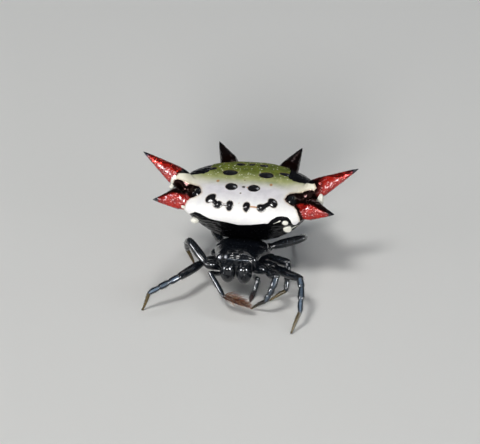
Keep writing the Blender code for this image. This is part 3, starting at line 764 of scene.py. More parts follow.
def spine_marks(points):
    """How deep each place lies in a spine's colour, how deep in its dark root, and the share of the way
    out to its tip. A rear spine is dark all the way out: painted shade over its red."""
    red, dark, reach = (np.full(points.shape[:-1], value) for value in (OUTSIDE, -OUTSIDE, 0.0))
    for label, (_, _, radius, _, start, bright, _) in SPINES.items():
        for side in (1, -1):
            root, tip = spine_ends(label, side)
            length = np.linalg.norm(tip - root)
            out = (points - root) @ (tip - root) / length
            off = np.linalg.norm(points - root - out[..., None] * (tip - root) / length, axis=-1)
            depth = np.minimum(out - start, radius * COLOUR_REACH - off)
            reach = np.where(depth > red, out / length, reach)
            dark = np.where(depth > red, bright - out, dark)
            red = np.maximum(red, depth)
    return red, dark, reach


def corner_marks(points, flat, away, sight):
    """The spines' colours with those of the corners: the dark field between a side spine and a front
    one, the front spine's dark upper part, and on the left a margin inside and round the tongue's end."""
    x, y, up = np.moveaxis(flat, -1, 0)
    red, dark, reach = spine_marks(points)
    tongue_end = np.where(x > 0, inside_outline(away, sight, LEFT_CORNER), OUTSIDE)
    round_end = (tongue_end > -LEFT_CORNER_RIM) & (sight > LEFT_CORNER_LOW)
    dark = np.where(round_end, (LEFT_CORNER_RED - away) * LEFT_CORNER_FADE, dark)
    folded = np.stack([np.abs(points[..., 0]), points[..., 1], points[..., 2]], axis=-1)
    on_spine = inside_band(folded, *SPINES["front"][:2], CORNER_REACH)
    corner = np.maximum(inside_outline(away, sight, CORNER), tongue_end)
    corner = np.minimum(corner, np.maximum(on_spine, np.minimum(up, CORNER_REAR - y)))
    front_spine = (away > FRONT_SPINE_START) & (sight < FRONT_SPINE_TOP)
    rise, rise_start, rise_end = RIGHT_EDGE_RISE
    edge = edge_height(away, DARK_EDGE) + np.where(x < 0, rise * ease(away, rise_start, rise_end), 0.0)
    dark = np.where(((corner > red) | front_spine) & ~round_end, sight - edge, dark)
    on_strip = (x > 0) & front_spine & (away < LEFT_STRIP_END)
    strip = np.where(on_strip, LEFT_STRIP - corner, OUTSIDE)
    return {"red": np.maximum(red, corner), "dark": np.maximum(dark, strip), "reach": reach}


def shell_marks(points):
    """How deep each place lies inside each patch of colour, in millimetres, below 0 outside it."""
    flat = in_shield(points)
    away = np.abs(flat[..., 0] - SIGHT_MIDDLE)
    sight = points[..., 2] * math.cos(SIGHT_DROP) + points[..., 1] * math.sin(SIGHT_DROP)
    sag, sag_start, sag_end = OLIVE_SAG
    return {
        "belly": white_and_belly(points, flat, away, sight),
        **spots(flat),
        "pale": pale_marks(points, flat, away, sight),
        **corner_marks(points, flat, away, sight),
        "behind": flat[..., 1] - sag * ease(away, sag_start, sag_end),
        "cream": ease(away, *CREAM_SPREAD),
    }


def shield_and_belly():
    """Rings of turn and level: a dome whose height is H (1 - s^F)^(1/F) at share s of the rim, then the
    belly's levels down to its tip. Pits are sunk, knobs raised, and the belly set back and folded."""
    turn = ring_angles(ABDOMEN_COLUMNS)
    share = np.sin(np.linspace(0.012, 1, DOME_ROWS) * math.pi / 2)
    height = DOME_HEIGHT * (1 - share**DOME_FULLNESS) ** (1 / DOME_FULLNESS)
    dome = np.stack([share * SHIELD_HALF_WIDTH, share * SHIELD_HALF_DEPTH, -height, 0 * share], axis=1)
    levels = np.vstack([dome, smooth_table(BELLY_STATIONS, BELLY_ROWS)[1:]])
    half_width, half_depth, drop, shift = levels.T[:, :, None]
    below = np.clip(drop / BELLY_STATIONS[-1][2], 0, 1)
    towards_rim = np.append(share, np.ones(BELLY_ROWS - 1))[:, None]
    lifted = np.where(drop > 0, (1 - below) ** 2, towards_rim**3)
    squareness = np.where(np.sin(turn) < 0, SQUARENESS_FRONT, SQUARENESS_REAR)
    across, along = superellipse(turn, squareness * (1 - below) + 2 * below)
    lift = RIM_SIDE_LIFT * np.abs(np.cos(turn)) ** RIM_LIFT_NARROWNESS
    flat = np.stack([half_width * across, half_depth * along + shift, lift * lifted - drop], axis=-1)
    plain = Surface(from_shield(flat))
    marks = shell_marks(plain.points)

    dark = ease(marks["belly"], -0.01, 0.07)
    folds = np.sin(turn * FOLD_COUNT + FOLD_WANDER * ripple(flat, 1.1, 3)) * ease(below, 0.0, 0.25)
    creases = np.sin(flat[..., 2] * CREASE_RATE + CREASE_WANDER * ripple(flat, 0.9, 4))
    fold_share, crease_share, small_share = WRINKLE_SHARES
    wrinkles = fold_share * folds + crease_share * creases + small_share * ripple(flat, 0.35, 5)
    height = (
        SWELL_HEIGHT * ripple(flat, 1.3, 1) * (1 - dark)
        + LEATHER_HEIGHT * ripple(flat, 0.22, 2)
        - PIT_DEPTH * ease(marks["pits"], -0.04, 0.05)
        + BEAD_HEIGHT * np.clip(marks["pits"] / BEAD_REACH, 0, 1) ** BEAD_POWER
        + KNOB_HEIGHT * np.clip(marks["knobs"] / KNOB_REACH, 0, 1) ** BEAD_POWER
        - RED_STEP * ease(marks["red"], -0.06, 0.2)
        - BELLY_STEP * dark
        + dark * FOLD_HEIGHT * wrinkles
        + PALE_STEP * ease(marks["pale"], -0.04, 0.10)
    )
    skin = plain.raised(height)
    skin.marks = marks
    return skin


def nearest_on(shell, normals, places):
    """The foot of each place on a surface, and the normal there: on the plane of the nearest point."""
    points = shell.reshape(-1, 3)
    gaps = (points**2).sum(-1) - 2 * places @ points.T
    nearest = gaps.argmin(axis=1)
    normal = normals.reshape(-1, 3)[nearest]
    return places - ((places - points[nearest]) * normal).sum(-1, keepdims=True) * normal, normal


def spine(shell, normals, label, side):
    """A cone whose foot leaves the shield along its surface. A cubic sweep joins a ring on the shield to
    a ring of the cone, flat against the one and along the other. The cone's radii follow the profile,
    with a crest on its upper edge where the table gives one and fine grains all over."""
    root, tip = spine_ends(label, side)
    radius, crest = SPINES[label][2], SPINES[label][6]
    axis = tip - root
    way = unit(axis)
    beside = unit(np.cross(way, (0.0, 0.0, 1.0)))
    top = np.cross(beside, way)
    turn = ring_angles(SPINE_COLUMNS)[:, None]
    ring = np.cos(turn) * beside + np.sin(turn) * top

    def cone(share):
        """The cone's ring at that share of the way from root to tip."""
        profile = np.array(SPINE_PROFILE)
        girth = radius * np.interp(share, profile[:, 0], profile[:, 1])
        raised = crest * bell(share - CREST_PLACE, CREST_SPREAD) * np.maximum(np.sin(turn), 0) ** 2
        return root + axis * share + ring * (girth + raised)

    line = np.linspace(0, 1, 80)
    on_axis = root + line[:, None] * axis
    feet, ways = nearest_on(shell, normals, on_axis)
    out = line[np.argmax(((on_axis - feet) * ways).sum(-1) > 0)]
    centre = root + axis * out
    foot, lean = nearest_on(shell, normals, centre + (cone(out) - centre) * SPINE_FLARE)
    rise = out + SPINE_FOOT * (1 - out)
    collar = cone(rise)
    gap = np.linalg.norm(collar - foot, axis=-1, keepdims=True)
    straight = unit(collar - foot)
    pull = gap * SWEEP_STRENGTH
    start = unit(straight - (straight * lean).sum(-1, keepdims=True) * lean) * pull
    end = unit(cone(rise + 0.01) - collar) * pull
    t = np.linspace(0, 1, FOOT_ROWS)[:, None, None]
    sweep = (
        (2 * t**3 - 3 * t**2 + 1) * foot
        + (t**3 - 2 * t**2 + t) * start
        + (3 * t**2 - 2 * t**3) * collar
        + (t**3 - t**2) * end
    )
    shares = rise + (1 - rise) * np.linspace(0, 1, CONE_ROWS)[1:]
    upper = np.array([cone(share) for share in shares])
    sunk = (foot - lean * SPINE_SUNK)[None]
    points = np.concatenate([sunk, sweep, upper])
    plain = Surface(points)
    grain = GRAIN_HEIGHT * ripple(points, GRAIN_SIZE, 7)
    row = np.arange(len(points))[:, None]
    made = plain.raised(grain * ease(row, 2, FOOT_ROWS) * ease(len(points) - row, 0, 15))
    # Pale grains on what faces ahead are painted glints.
    lit = GLINT_WAY - GLINT_WAY @ way * way
    made.marks = {**shell_marks(made.points), "grains": ease(made.normals() @ unit(lit), *GLINT_FACING)}
    return made


# Head, jaws and limbs -----------------------------------------------------------------------------


def tube(path, radii, columns, side, kind="", **marks):
    """A ring of each radius carried along the path, square to it, with a round cap past both ends."""
    path, radii = np.asarray(path, float), np.asarray(radii, float)
    ways = unit(np.gradient(path, axis=0))
    cap = np.linspace(CAP_START, 0, CAP_ROWS)[:-1]
    near = path[0] - ways[0] * radii[0] * np.sin(cap)[:, None]
    far = path[-1] + ways[-1] * radii[-1] * np.sin(cap[::-1])[:, None]
    centres = np.vstack([near, path, far])
    girths = np.concatenate([radii[0] * np.cos(cap), radii, radii[-1] * np.cos(cap[::-1])])
    ways = np.vstack([np.repeat(ways[:1], len(near), 0), ways, np.repeat(ways[-1:], len(far), 0)])
    sides = unit(side - (ways @ side)[:, None] * ways)
    tops = np.cross(sides, ways)
    turn = ring_angles(columns)
    ring = np.cos(turn)[None, :, None] * sides[:, None] + np.sin(turn)[None, :, None] * tops[:, None]
    return Surface(centres[:, None] + girths[:, None, None] * ring, kind, **marks)


def unit_ball(rows, columns, gap=POLE_GAP):
    """Rings of points on the unit ball, from that gap below its top to the same above its bottom."""
    level = np.linspace(gap, math.pi - gap, rows)[:, None]
    turn = ring_angles(columns)
    return np.stack(
        [np.sin(level) * np.cos(turn), np.sin(level) * np.sin(turn), np.cos(level) + 0 * turn], axis=-1
    )


def ball(centre, half, rows=18, columns=24, **marks):
    """A ball, with its own half size along each axis."""
    return Surface(np.asarray(centre) + unit_ball(rows, columns) * half, **marks)


def eye_places():
    """Centre and radius of every eye, in millimetres, from its solid."""
    places = {}
    for node in sorted(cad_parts):
        if node.startswith("eye_"):
            low, high = (np.array(corner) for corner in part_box(node))
            centre = ((low + high) / 2 - (0.0, FRONT, 0.0)) / MM
            places[node] = (centre, float((high - low).max()) / 2 / MM)
    return places


def head(eyes):
    """Superellipse rings across y, with a ridge over the face, a mound under each eye, a groove and a
    hollow behind the head and swellings at its corners, all raised along the normals by bells. A silvery
    line on the ridge and pearly spots on the swellings are painted highlights."""
    y, half_width, top, bottom = smooth_table(HEAD_STATIONS, HEAD_ROWS).T[:, :, None]
    turn = ring_angles(HEAD_COLUMNS)
    across, upright = superellipse(turn, HEAD_SQUARENESS)
    x, z = half_width * across, (top + bottom) / 2 + (top - bottom) / 2 * upright
    points = np.stack([x, y + 0 * x, z], axis=-1)
    brow_y, brow_z, brow_half, brow_height = BROW
    from_brow = np.hypot(points[..., 1] - brow_y, z - brow_z)
    height = brow_height * bell(from_brow, BROW_SPREAD) * ease(brow_half - np.abs(x), -0.2, 0.2)
    for centre, _ in eyes.values():
        height = height + EYE_MOUND[1] * bell(np.linalg.norm(points - centre, axis=-1), EYE_MOUND[0])
    over = ease(z, *HEAD_TOP)
    groove_y, slant, half, depth = GROOVE
    height = height - depth * over * bell(y - groove_y - slant * np.abs(x), half)
    dimple_y, dimple_spread, dimple_depth = DIMPLE
    height = height - dimple_depth * over * bell(np.hypot(x, y - dimple_y), dimple_spread)
    # A painted highlight line along the brow, and painted pearly highlights on the corner swellings.
    strength, spread, middle, half = BROW_HIGHLIGHT
    brow_highlight = strength * bell(from_brow, spread) * ease(half - np.abs(x - middle), -0.1, 0.1)
    pearl = np.zeros_like(brow_highlight)
    for place, spread, rise in HEAD_SWELLINGS:
        away = np.linalg.norm(points - place, axis=-1)
        height = height + rise * bell(away, spread)
        pearly, plain = PEARL_HIGHLIGHT_SHARES[1] * spread, PEARL_HIGHLIGHT_SHARES[0] * spread
        pearl = np.maximum(pearl, ease(away, plain, pearly))
    height = height + HEAD_RIPPLE * ripple(points, 0.30, 11)
    bloom = np.maximum(brow_highlight, pearl)
    return Surface(points, "head", bloom=bloom, pearl=pearl, rough=0.1).raised(height)


def jaw(side):
    """A ball drawn out to a stout bulb that narrows downward, with low swellings on its front."""
    shape = unit_ball(JAW_ROWS, JAW_COLUMNS, JAW_POLE_GAP)
    shape[..., :2] *= 1 - CHELICERA_NARROWING * np.maximum(-shape[..., 2:], 0)
    points = mirrored(CHELICERA_CENTRE, side) + shape * CHELICERA_HALF
    height = JAW_RIPPLE * ripple(points, 0.2, 21 + side)
    for place, spread, rise in CHELICERA_SWELLINGS:
        height = height + rise * bell(np.linalg.norm(points - mirrored(place, side), axis=-1), spread)
    return Surface(points, "jaw", rough=0.2).raised(height)


def fang(side):
    """A curved, tapered tube folded in towards its twin."""
    centre = mirrored(CHELICERA_CENTRE, side)
    points = np.array([centre + mirrored(point, side) for point in FANG_POINTS])
    path = smooth_table(points, 18)
    radii = smooth_table([(radius,) for radius in FANG_RADII], 18)[:, 0]
    return tube(path, radii, 16, np.array((0.0, 1.0, 0.3)), tan=0.35, rough=0.1)


def segment(kind, start, end, side, tan=(0.0, 0.0), bloom=0.0):
    """One limb segment: its table's radii along a line bowed by a half sine wave towards its back, with
    a painted sheen and highlight streak along what faces up and ahead."""
    radius, bow, profile = SEGMENTS[kind]
    along = np.linspace(0, 1, SEGMENT_ROWS)
    back = np.cross(side, unit(end - start))
    path = start + along[:, None] * (end - start) + bow * np.sin(along * math.pi)[:, None] * back
    radii = np.interp(along, *smooth_table(profile, 60).T) * radius
    made = tube(path, radii, SEGMENT_COLUMNS, side, kind)
    rows = len(made.points)
    way = unit(end - start)
    # Painted sheen: a faint veil and a bright highlight streak on what faces up and ahead; the femora
    # also get painted glints inside the streak.
    facing = made.normals() @ unit(SHEEN_WAY - SHEEN_WAY @ way * way)
    streak = ease(facing, *SHEEN_STREAK)
    made.marks = {
        "tan": np.linspace(*tan, rows)[:, None],
        "bloom": bloom * (SHEEN_VEIL_SHARE * ease(facing, *SHEEN_VEIL) + (1 - SHEEN_VEIL_SHARE) * streak),
        "glints": GLINTS * streak if kind == "femur" else 0.0,
        "rough": 0.8 if kind == "femur" else 0.4,
        "rust": 1.0 if kind == "palp_tarsus" else 0.0,
    }
    return made


def end_radius(kind, end):
    """The radius of a kind of segment at its near end, 0, or its far end, -1."""
    radius, _, profile = SEGMENTS[kind]
    return radius * profile[end][1]


def limb(kinds, line, side, tans, painted_sheens):
    """A segment of each kind between the points of a line, then a ball at each joint between them."""
    segments = [
        segment(kind, start, end, side, tans.get(kind, (0.0, 0.0)), painted_sheens.get(kind, 0.0))
        for kind, start, end in zip(kinds, line, line[1:])
    ]
    joints = []
    for near, far, centre in zip(kinds, kinds[1:], line[1:]):
        radius = min(end_radius(near, -1), end_radius(far, 0)) * JOINT_BALL
        joints.append(ball(centre, radius, 10, 16, tan=JOINT_TAN, rough=0.1))
    return segments + joints


def leg_joints(name):
    """The seven joints of one leg, from the coxa's root inside the body to the foot."""
    pair = int(name.split("_")[1])
    side = 1 if name.endswith("left") else -1
    angle = math.radians(COXA_ANGLES[pair])
    ring = np.array((side * math.cos(angle) * COXA_RING_HALF[0], math.sin(angle) * COXA_RING_HALF[1], 0))
    root = COXA_RING_CENTRE + ring * COXA_ROOT_SHARE
    trochanter = COXA_RING_CENTRE + ring * TROCHANTER_SHARES[pair]
    trochanter[2] += TROCHANTER_RISES[pair]
    knee, heel, foot = (np.array(point) for point in STANCE[name])
    patella_way = unit(unit(knee - trochanter) * PATELLA_STRAIGHTNESS + unit(heel - knee))
    shin = knee + patella_way * PATELLA_LENGTHS[pair]
    ankle = shin + (heel - shin) * TIBIA_SHARE
    return root, trochanter, knee, shin, ankle, heel, foot


def leg(name):
    """Seven segments from the body to the foot, which stands on the floor on its rounded tip. Returns
    them with what the claws need: the toe, the way that it points and the leg's side."""
    root, trochanter, knee, shin, ankle, heel, foot = leg_joints(name)
    side = unit(np.cross(knee - trochanter, foot - knee))
    toe = foot + (0.0, 0.0, end_radius("tarsus", -1) + TOE_LIFT)
    painted_sheens = {kind: PAINTED_LEG_SHEENS.get(name, 0.0) * share for kind, share in PAINTED_SHEEN_SHARES.items()}
    tans = {**LEG_TANS, "tarsus": DARK_FOOT_TAN} if name == "leg_1_left" else LEG_TANS
    out = unit(trochanter - root)
    hip = trochanter + unit(knee - trochanter) * HIP_OUT
    surfaces = [
        segment("coxa", root, trochanter - out * COXA_SHORT, side),
        segment("trochanter", trochanter - out * TROCHANTER_START, hip, side, TROCHANTER_TAN),
        *limb(LEG_KINDS, (hip, knee, shin, ankle, heel, toe), side, tans, painted_sheens),
    ]
    return surfaces, toe, unit(toe - heel), side


def palp(name):
    """Three segments that cross below the face, black at first and brown at the tip. The right one ends
    in a brush of long reddish hairs."""
    line = [np.array(point) for point in PALPS[name]]
    root, elbow, _, tip = line
    side = unit(np.cross(elbow - root, tip - elbow))
    tan = PALP_TANS[name]
    tans = {"palp_tibia": (0.0, tan[0] / 2), "palp_tarsus": tan}
    surfaces = limb(PALP_KINDS, line, side, tans, PAINTED_PALP_SHEEN)
    if name == "palp_right":
        surfaces[2].kind = "palp_brush"
    return surfaces


def spinnerets(tip):
    """A low folded ring under the belly's tip, narrowing by the square of the way down, and four short
    cones round its middle that narrow most at their tips."""
    radius, height = SPINNERET_RING
    top = tip + (0.0, 0.0, SPINNERET_TOP + SPINNERET_SUNK)
    side = np.array((1.0, 0.0, 0.0))
    along = np.linspace(0, 1, SPINNERET_ROWS)
    path = top - np.outer(along, (0.0, 0.0, height + SPINNERET_SUNK + 0.06))
    radii = radius * (0.92 - 0.30 * along**2)
    ring = tube(path, radii, SPINNERET_COLUMNS, side, "spinneret", tan=0.1, rough=0.3)
    folds, fold_height = SPINNERET_FOLDS
    folded = fold_height * np.sin(ring_angles(SPINNERET_COLUMNS) * folds)
    pieces = [ring.raised(folded + 0 * ring.points[..., 0])]
    girth, length, spread = SPINNERET_CONE
    for turn in np.radians((45, 135, 225, 315)):
        out = np.array((math.cos(turn), math.sin(turn), 0.0)) * spread
        start = tip + (0.0, 0.0, SPINNERET_TOP - height * CONE_ROOT) + out
        end = tip + (0.0, 0.0, SPINNERET_TOP - height - length + 0.03) + out * CONE_CLOSING
        path = start + np.outer(along, end - start)
        radii = girth * (1 - 0.1 * along - 0.55 * along**4)
        pieces.append(tube(path, radii, SPINNERET_COLUMNS // 2, side, "spinneret", tan=0.3, rough=0.3))
    return pieces


def claws(toe, way, side):
    """Two curved hooks side by side at the foot, their tips just above the floor."""
    length, apart, root_radius, tip_radius, tip_height = CLAW
    pieces = []
    for shift in (0.5, -0.5):
        start = toe - way * 0.03 + side * shift * apart
        ahead = unit(way * (1.0, 1.0, 0.0) + side * shift * 0.5)
        tip = start + ahead * length
        tip[2] = tip_height
        middle = (start + tip) / 2 + ahead * 0.03 + (0.0, 0.0, root_radius)
        path = smooth_table([start, middle, tip], 10)
        pieces.append(tube(path, np.linspace(root_radius, tip_radius, 10), 8, side, tan=0.2, rough=0.1))
    return pieces


# Hairs --------------------------------------------------------------------------------------------


def grow_hairs(surface, number):
    """Thin bent cones of three sides: each leaves the surface at a random point, leaning towards the
    surface's far end, and bends further that way. Those near its end are shorter. The surface's number
    seeds the draws and picks its cell of the hair map. Returns each hair's nine points, its place on the
    map and its tone."""
    count, length, lean, tone, least_rise = HAIRS[surface.kind]
    draw = np.random.default_rng(number)
    rows, columns = surface.points.shape[:2]
    row = draw.integers(CAP_ROWS, rows - 2, count)
    column = draw.integers(0, columns, count)
    grown = surface.normals()[row, column, 2] >= least_rise
    row, column, count = row[grown], column[grown], grown.sum()
    root, normal = surface.points[row, column], surface.normals()[row, column]
    along = unit(surface.points[np.minimum(row + 1, rows - 1), column] - surface.points[row - 1, column])
    side = np.cross(normal, along)
    way = unit(normal * lean + along + side * draw.normal(0, HAIR_TURN, (count, 1)))
    longest, shortening = HAIR_TAPER
    long = length * draw.uniform(*HAIR_LENGTHS, (count, 1))
    long = long * (longest - shortening * row[:, None] / rows)
    thick = HAIR_RADIUS * (1 + tone) * draw.uniform(*HAIR_GIRTHS, (count, 1))
    across = unit(np.cross(way, side))
    rings = []
    for out, bend, girth in HAIR_LEVELS:
        centre = root + way * long * out + along * long * bend
        for turn in np.radians((90, 210, 330)):
            rings.append(centre + (side * math.cos(turn) + across * math.sin(turn)) * thick * girth)
    points = np.stack(rings, axis=1)
    cell = number % MAP_CELLS**2
    u = (cell % MAP_CELLS + 0.1 + 0.8 * column / columns) / MAP_CELLS
    v = (cell // MAP_CELLS + 0.1 + 0.8 * row / rows) / MAP_CELLS
    return points, np.stack([u, v], axis=-1), np.clip(tone * draw.uniform(*HAIR_TONES, count), 0, 1)


HAIR_FACES = np.array(
    [
        (k + level * 3, (k + 1) % 3 + level * 3, (k + 1) % 3 + (level + 1) * 3, k + (level + 1) * 3)
        for level in range(2)
        for k in range(3)
    ]
)
HAIR_PATCH_CORNERS = np.array(((0, 0), (1, 0), (1, 1), (0, 1))) * HAIR_PATCH - HAIR_PATCH / 2


def hair_piece(name, batches, finish):
    """All the hairs of some batches as one mesh, closed at both ends, with every face of a hair on the
    hair's own patch of the map."""
    points = np.concatenate([batch[0] for batch in batches])
    places = np.concatenate([batch[1] for batch in batches])
    tones = np.concatenate([batch[2] for batch in batches])
    starts = np.arange(len(points))[:, None, None] * HAIR_POINTS
    quads = (HAIR_FACES + starts).reshape(-1, 4)
    ends = (np.array(((2, 1, 0), (6, 7, 8))) + starts).reshape(-1, 3)
    mesh = bpy.data.meshes.new(name)
    mesh.from_pydata(to_frame(points.reshape(-1, 3)).tolist(), [], quads.tolist() + ends.tolist())
    mesh.attributes.new("tone", "FLOAT", "POINT").data.foreach_set("value", np.repeat(tones, HAIR_POINTS))
    corners = np.tile(HAIR_PATCH_CORNERS, (6, 1))
    quad_map = (places[:, None] + corners).reshape(-1, 2)
    end_map = (places[:, None] + np.tile(HAIR_PATCH_CORNERS[:3], (2, 1))).reshape(-1, 2)
    mesh.uv_layers.new(name="OFBake").uv.foreach_set("vector", np.vstack([quad_map, end_map]).ravel())
    finish_piece(name, mesh, finish)


# Finishes -----------------------------------------------------------------------------------------


def shell_finish():
    """White shield that turns olive to the rear, black pits and belly, and red spines with black tips.
    Pits and knobs are wet, the red is grainy, and the other blacks are partly metallic, which keeps them
    deep. Pale dots on the rear and on the spines' fronts are painted glints, and the rear spines are
    painted dark as shade."""
    shell = Finish("shield_cuticle", Specular_IOR_Level=0.32, Coat_Roughness=0.06)
    wobble = shell.noise(0.30) * 0.022 + shell.noise(0.09) * 0.012
    cloud = shell.noise(0.45) * 0.5 + 0.5
    belly, pits, rims, knobs, rust, pale, red, fringe = (
        (shell.mark(mark) + wobble * share).step(low, high)
        for mark, share, low, high in PATCH_EDGES.values()
    )
    dark = (shell.mark("dark") + shell.noise(0.35) * 0.06).step(-0.16, 0.06)
    tips = (shell.mark("reach") + shell.noise(0.2) * 0.03).step(0.84, 0.92)
    behind = shell.mark("behind") + shell.noise(0.5) * 0.12
    scattered = (shell.noise(0.4) * 0.5 + 0.5).step(0.42, 0.52)
    # Pale dots on the rear's grains: painted glints.
    granule_glints = shell.grains(0.20, 0.34) * scattered * behind.step(-0.3, 0.3)

    middle = shell.blend(cloud.step(0.3, 0.7), *LILACS)
    middle = shell.blend(shell.mark("cream"), middle, CREAM)
    colour = shell.blend(cloud.step(0.3, 0.8), *WHITES)
    colour = shell.blend(behind.step(-2.6, -1.4), colour, middle)
    colour = shell.blend(behind.step(-1.1, 0.1), colour, shell.blend(cloud.step(0.3, 0.7), *LIMES))
    colour = shell.blend(behind.step(-0.2, 0.9), colour, shell.blend(cloud.step(0.3, 0.7), *OLIVES))
    colour = shell.blend(granule_glints.step(0.1, 0.4), colour, GRANULE_GLINT)
    colour = shell.blend(rims * 0.4, colour, PIT_RIM)
    colour = shell.blend(rust * 0.85, colour, RUST)
    colour = shell.blend(pits, colour, PIT_BLACK)
    colour = shell.blend(fringe * 0.5, colour, RED_FRINGE)
    colour = shell.blend(belly, colour, BELLY_BLACK)
    # Pale grains on the spines' fronts: painted glints.
    grains = shell.mark("grains") * (shell.grains(0.14, 0.42).step(0.25, 0.7) * 0.95 + 0.05)
    scarlet = shell.blend(cloud.step(0.35, 0.7), *SCARLETS)
    scarlet = shell.blend(grains, scarlet, SPINE_GRAIN_GLINT)
    # Dark field and spine roots; on the rear spines this dark is painted shade.
    scarlet = shell.blend(dark, scarlet, SPINE_DARK_AND_SHADE)
    scarlet = shell.blend(tips, scarlet, SPINE_TIP)
    colour = shell.blend(red, colour, scarlet)
    colour = shell.blend(knobs, colour, KNOB_BLACK)
    colour = shell.blend(pale, colour, WART)

    glossy = pits.most(knobs).most(belly).most(red)
    smooth = pits.most(knobs).most(dark * red)
    grainy = red * (1.0 - smooth) * 1.3 + behind.step(0.0, 1.0) * (1.0 - belly) * 0.4
    leather = belly * 0.12 + (1.0 - glossy) * 0.10
    shell.feed(
        Base_Color=colour,
        Roughness=0.62 - glossy * 0.36 - red * 0.13 + shell.noise(0.15) * 0.04,
        Metallic=belly.most(dark * red) * (1.0 - knobs.most(pale)) * 0.75,
        Coat_Weight=pits.most(knobs).most(red * (1.0 - dark) * 0.2),
    )
    shell.raise_by(shell.grains(0.17) * grainy + shell.noise(0.09, 3.0) * leather, 0.03)
    return shell


def skin_finish():
    """Glossy blue-black cuticle, brown and duller towards the feet, with a painted silvery blue sheen and
    highlight on top, painted glints on the femora and painted pearly highlights on the head.
    """
    skin = Finish("jet_cuticle", Specular_IOR_Level=0.12, Coat_IOR=1.42, Coat_Roughness=0.05)
    tan = (skin.mark("tan") + skin.noise(0.12) * 0.08).step(0.05, 0.95)
    # Painted light: the sheen and highlight streaks, the femora's glints, the brow's line and the head's
    # pearly spots.
    bloom = skin.mark("bloom") * (0.8 + skin.noise(0.12) * 0.6)
    glints = skin.mark("glints") * skin.grains(0.10, 0.45).step(0.45, 0.85)
    black = skin.blend(skin.noise(0.4) * 0.5 + 0.5, *JETS)
    colour = skin.blend(bloom.most(glints), black, skin.blend(skin.mark("pearl"), *HIGHLIGHT_SILVERS))
    colour = skin.blend(tan, colour, skin.blend(skin.mark("rust"), *BROWNS))
    skin.feed(
        Base_Color=colour,
        Roughness=0.24 + tan * 0.2 + skin.noise(0.2) * 0.05,
        Coat_Weight=0.9 - tan * 0.7,
    )
    skin.raise_by(skin.noise(0.05, 4.0) * 0.3 + skin.grains(0.10) * skin.mark("rough"), 0.016)
    return skin


def eye_finish():
    """A wet black lens with a faint amber depth."""
    lens = Finish("eye_lens", Specular_IOR_Level=0.7, Coat_Weight=1.0, Coat_Roughness=0.02)
    depth = (lens.noise(0.08) * 0.5 + 0.5).step(0.4, 0.9)
    lens.feed(Base_Color=lens.blend(depth, *LENSES), Roughness=0.06)
    return lens


def hair_finish():
    """Fine hairs: dark, silvery grey, cream, rust and dark brown as their tone goes from 0 to 1."""
    hair = Finish("hair", Specular_IOR_Level=0.4)
    tone = hair.mark("tone")
    colour = hair.blend(tone.step(0.0, 0.35), DARK_HAIR, GREY_HAIR)
    colour = hair.blend(tone.step(0.35, 0.55), colour, CREAM_HAIR)
    colour = hair.blend(tone.step(0.50, 0.70), colour, RUST_HAIR)
    hair.feed(Base_Color=hair.blend(tone.step(0.75, 0.95), colour, BROWN_HAIR), Roughness=0.45)
    return hair


# Stage --------------------------------------------------------------------------------------------


def way_from(turn, height):
    """The way from the model towards a viewer or a light, from its turn and height in radians."""
    flat = math.cos(height)
    return Vector((math.sin(turn) * flat, -math.cos(turn) * flat, math.sin(height)))


def area_light(name, turn, height, size, power, colour, gleam_only):
    """A square light aimed at the model. One that is gleam_only shows in gloss alone."""
    light = bpy.data.lights.new(name, "AREA")
    light.size, light.energy, light.color = size, power, colour
    lamp = bpy.data.objects.new(name, light)
    back = way_from(math.radians(turn), math.radians(height))
    lamp.location = Vector(LIGHT_AIM) + back * LIGHT_DISTANCE
    lamp.rotation_euler = back.to_track_quat("Z", "Y").to_euler()
    lamp.visible_diffuse = not gleam_only
    bpy.context.scene.collection.objects.link(lamp)


def stage():
    """A pale floor that runs out of sight, a faint sky, the lights and the camera."""
    bpy.ops.mesh.primitive_circle_add(vertices=96, radius=FLOOR_RADIUS, fill_type="NGON")
    floor = bpy.context.object
    floor.name = "floor"
    paper = Finish("paper", Roughness=0.8)
    paper.feed(Base_Color=paper.blend(paper.noise(60.0) * 0.5 + 0.5, *PAPERS))
    floor.data.materials.append(paper.material)

    world = bpy.data.worlds.new("studio")
    bpy.context.scene.world = world
    world.use_nodes = True
    sky = world.node_tree.nodes["Background"]
    sky.inputs["Color"].default_value = (*SKY, 1.0)
    sky.inputs["Strength"].default_value = SKY_STRENGTH
    bpy.context.scene.view_settings.view_transform = "Standard"
    for name, light in LIGHTS.items():
        area_light(name, *light)

    camera = bpy.data.cameras.new("camera")
    camera.lens, camera.sensor_width = CAMERA_LENS, SENSOR_WIDTH
    camera.clip_start, camera.clip_end = 0.01, 10.0
    viewer = bpy.data.objects.new("camera", camera)
    back = way_from(CAMERA_TURN, CAMERA_HEIGHT)
    viewer.location = Vector(to_frame(CAMERA_AIM)) + back * CAMERA_DISTANCE * MM
    viewer.rotation_euler = back.to_track_quat("Z", "Y").to_euler()
    bpy.context.scene.collection.objects.link(viewer)
    bpy.context.scene.camera = viewer


# The model ----------------------------------------------------------------------------------------


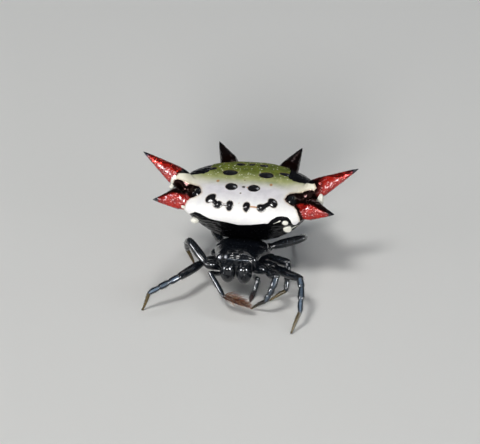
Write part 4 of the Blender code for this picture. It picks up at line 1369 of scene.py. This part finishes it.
def make_abdomen(shell):
    """The shield with its belly, the six spines and the warts."""
    abdomen = shield_and_belly()
    make_piece("shield_and_belly", [abdomen], shell, ["abdomen"])
    normals = abdomen.normals()
    spines = [spine(abdomen.points, normals, label, side) for label in SPINES for side in (1, -1)]
    make_piece("spines", spines, shell)
    warts = [ball(place, half) for place, half in WARTS]
    for wart in warts:
        wart.marks = {**shell_marks(wart.points), "pale": np.ones(wart.points.shape[:2])}
    make_piece("warts", warts, shell)


def make_body(skin, lens):
    """One skin for the head, limbs, waist and spinnerets, with jaws, fangs, claws and eyes. Returns the
    surfaces that hairs may grow on."""
    eyes = eye_places()
    surfaces, feet = [head(eyes)], []
    for name in STANCE:
        segments, toe, way, side = leg(name)
        surfaces += segments
        feet += claws(toe, way, side)
    palps = [piece for name in PALPS for piece in palp(name)]
    path, girths = smooth_table(PEDICEL_ENDS, 12), np.full(12, PEDICEL_RADIUS)
    pedicel = tube(path, girths, 24, np.array((1.0, 0.0, 0.0)), tan=0.2, rough=0.3)
    tip = from_shield(np.array((0.0, BELLY_STATIONS[-1][3], -BELLY_STATIONS[-1][2])))
    surfaces += palps + [pedicel] + spinnerets(tip)
    jaws = [jaw(side) for side in (1, -1)]
    covered = [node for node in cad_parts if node.startswith(SKIN_NODES)]
    make_piece("skin", surfaces, skin, sorted(covered))
    for word, surface in zip(("left", "right"), jaws):
        make_piece(f"jaw_{word}", [surface], skin, [f"chelicera_{word}"])
    make_piece("fangs", [fang(1), fang(-1)], skin)
    make_piece("claws", feet, skin)
    for node, (centre, radius) in eyes.items():
        make_piece("lens" + node[3:], [ball(centre, radius)], lens, [node])
    return surfaces + jaws


def make_hairs(surfaces, hair):
    """Three pieces of hairs: on the legs, the palps and the body."""
    batches = {"legs": [], "palps": [], "body": []}
    for number, surface in enumerate(surfaces):
        if surface.kind.startswith("palp"):
            place = "palps"
        elif surface.kind in ("head", "jaw", "spinneret"):
            place = "body"
        else:
            place = "legs"
        if surface.kind in HAIRS:
            batches[place].append(grow_hairs(surface, number))
    for place, grown in batches.items():
        hair_piece("hairs_on_" + place, grown, hair)


def main():
    """Every piece in its finish, and the stage."""
    make_abdomen(shell_finish())
    make_hairs(make_body(skin_finish(), eye_finish()), hair_finish())
    stage()


main()
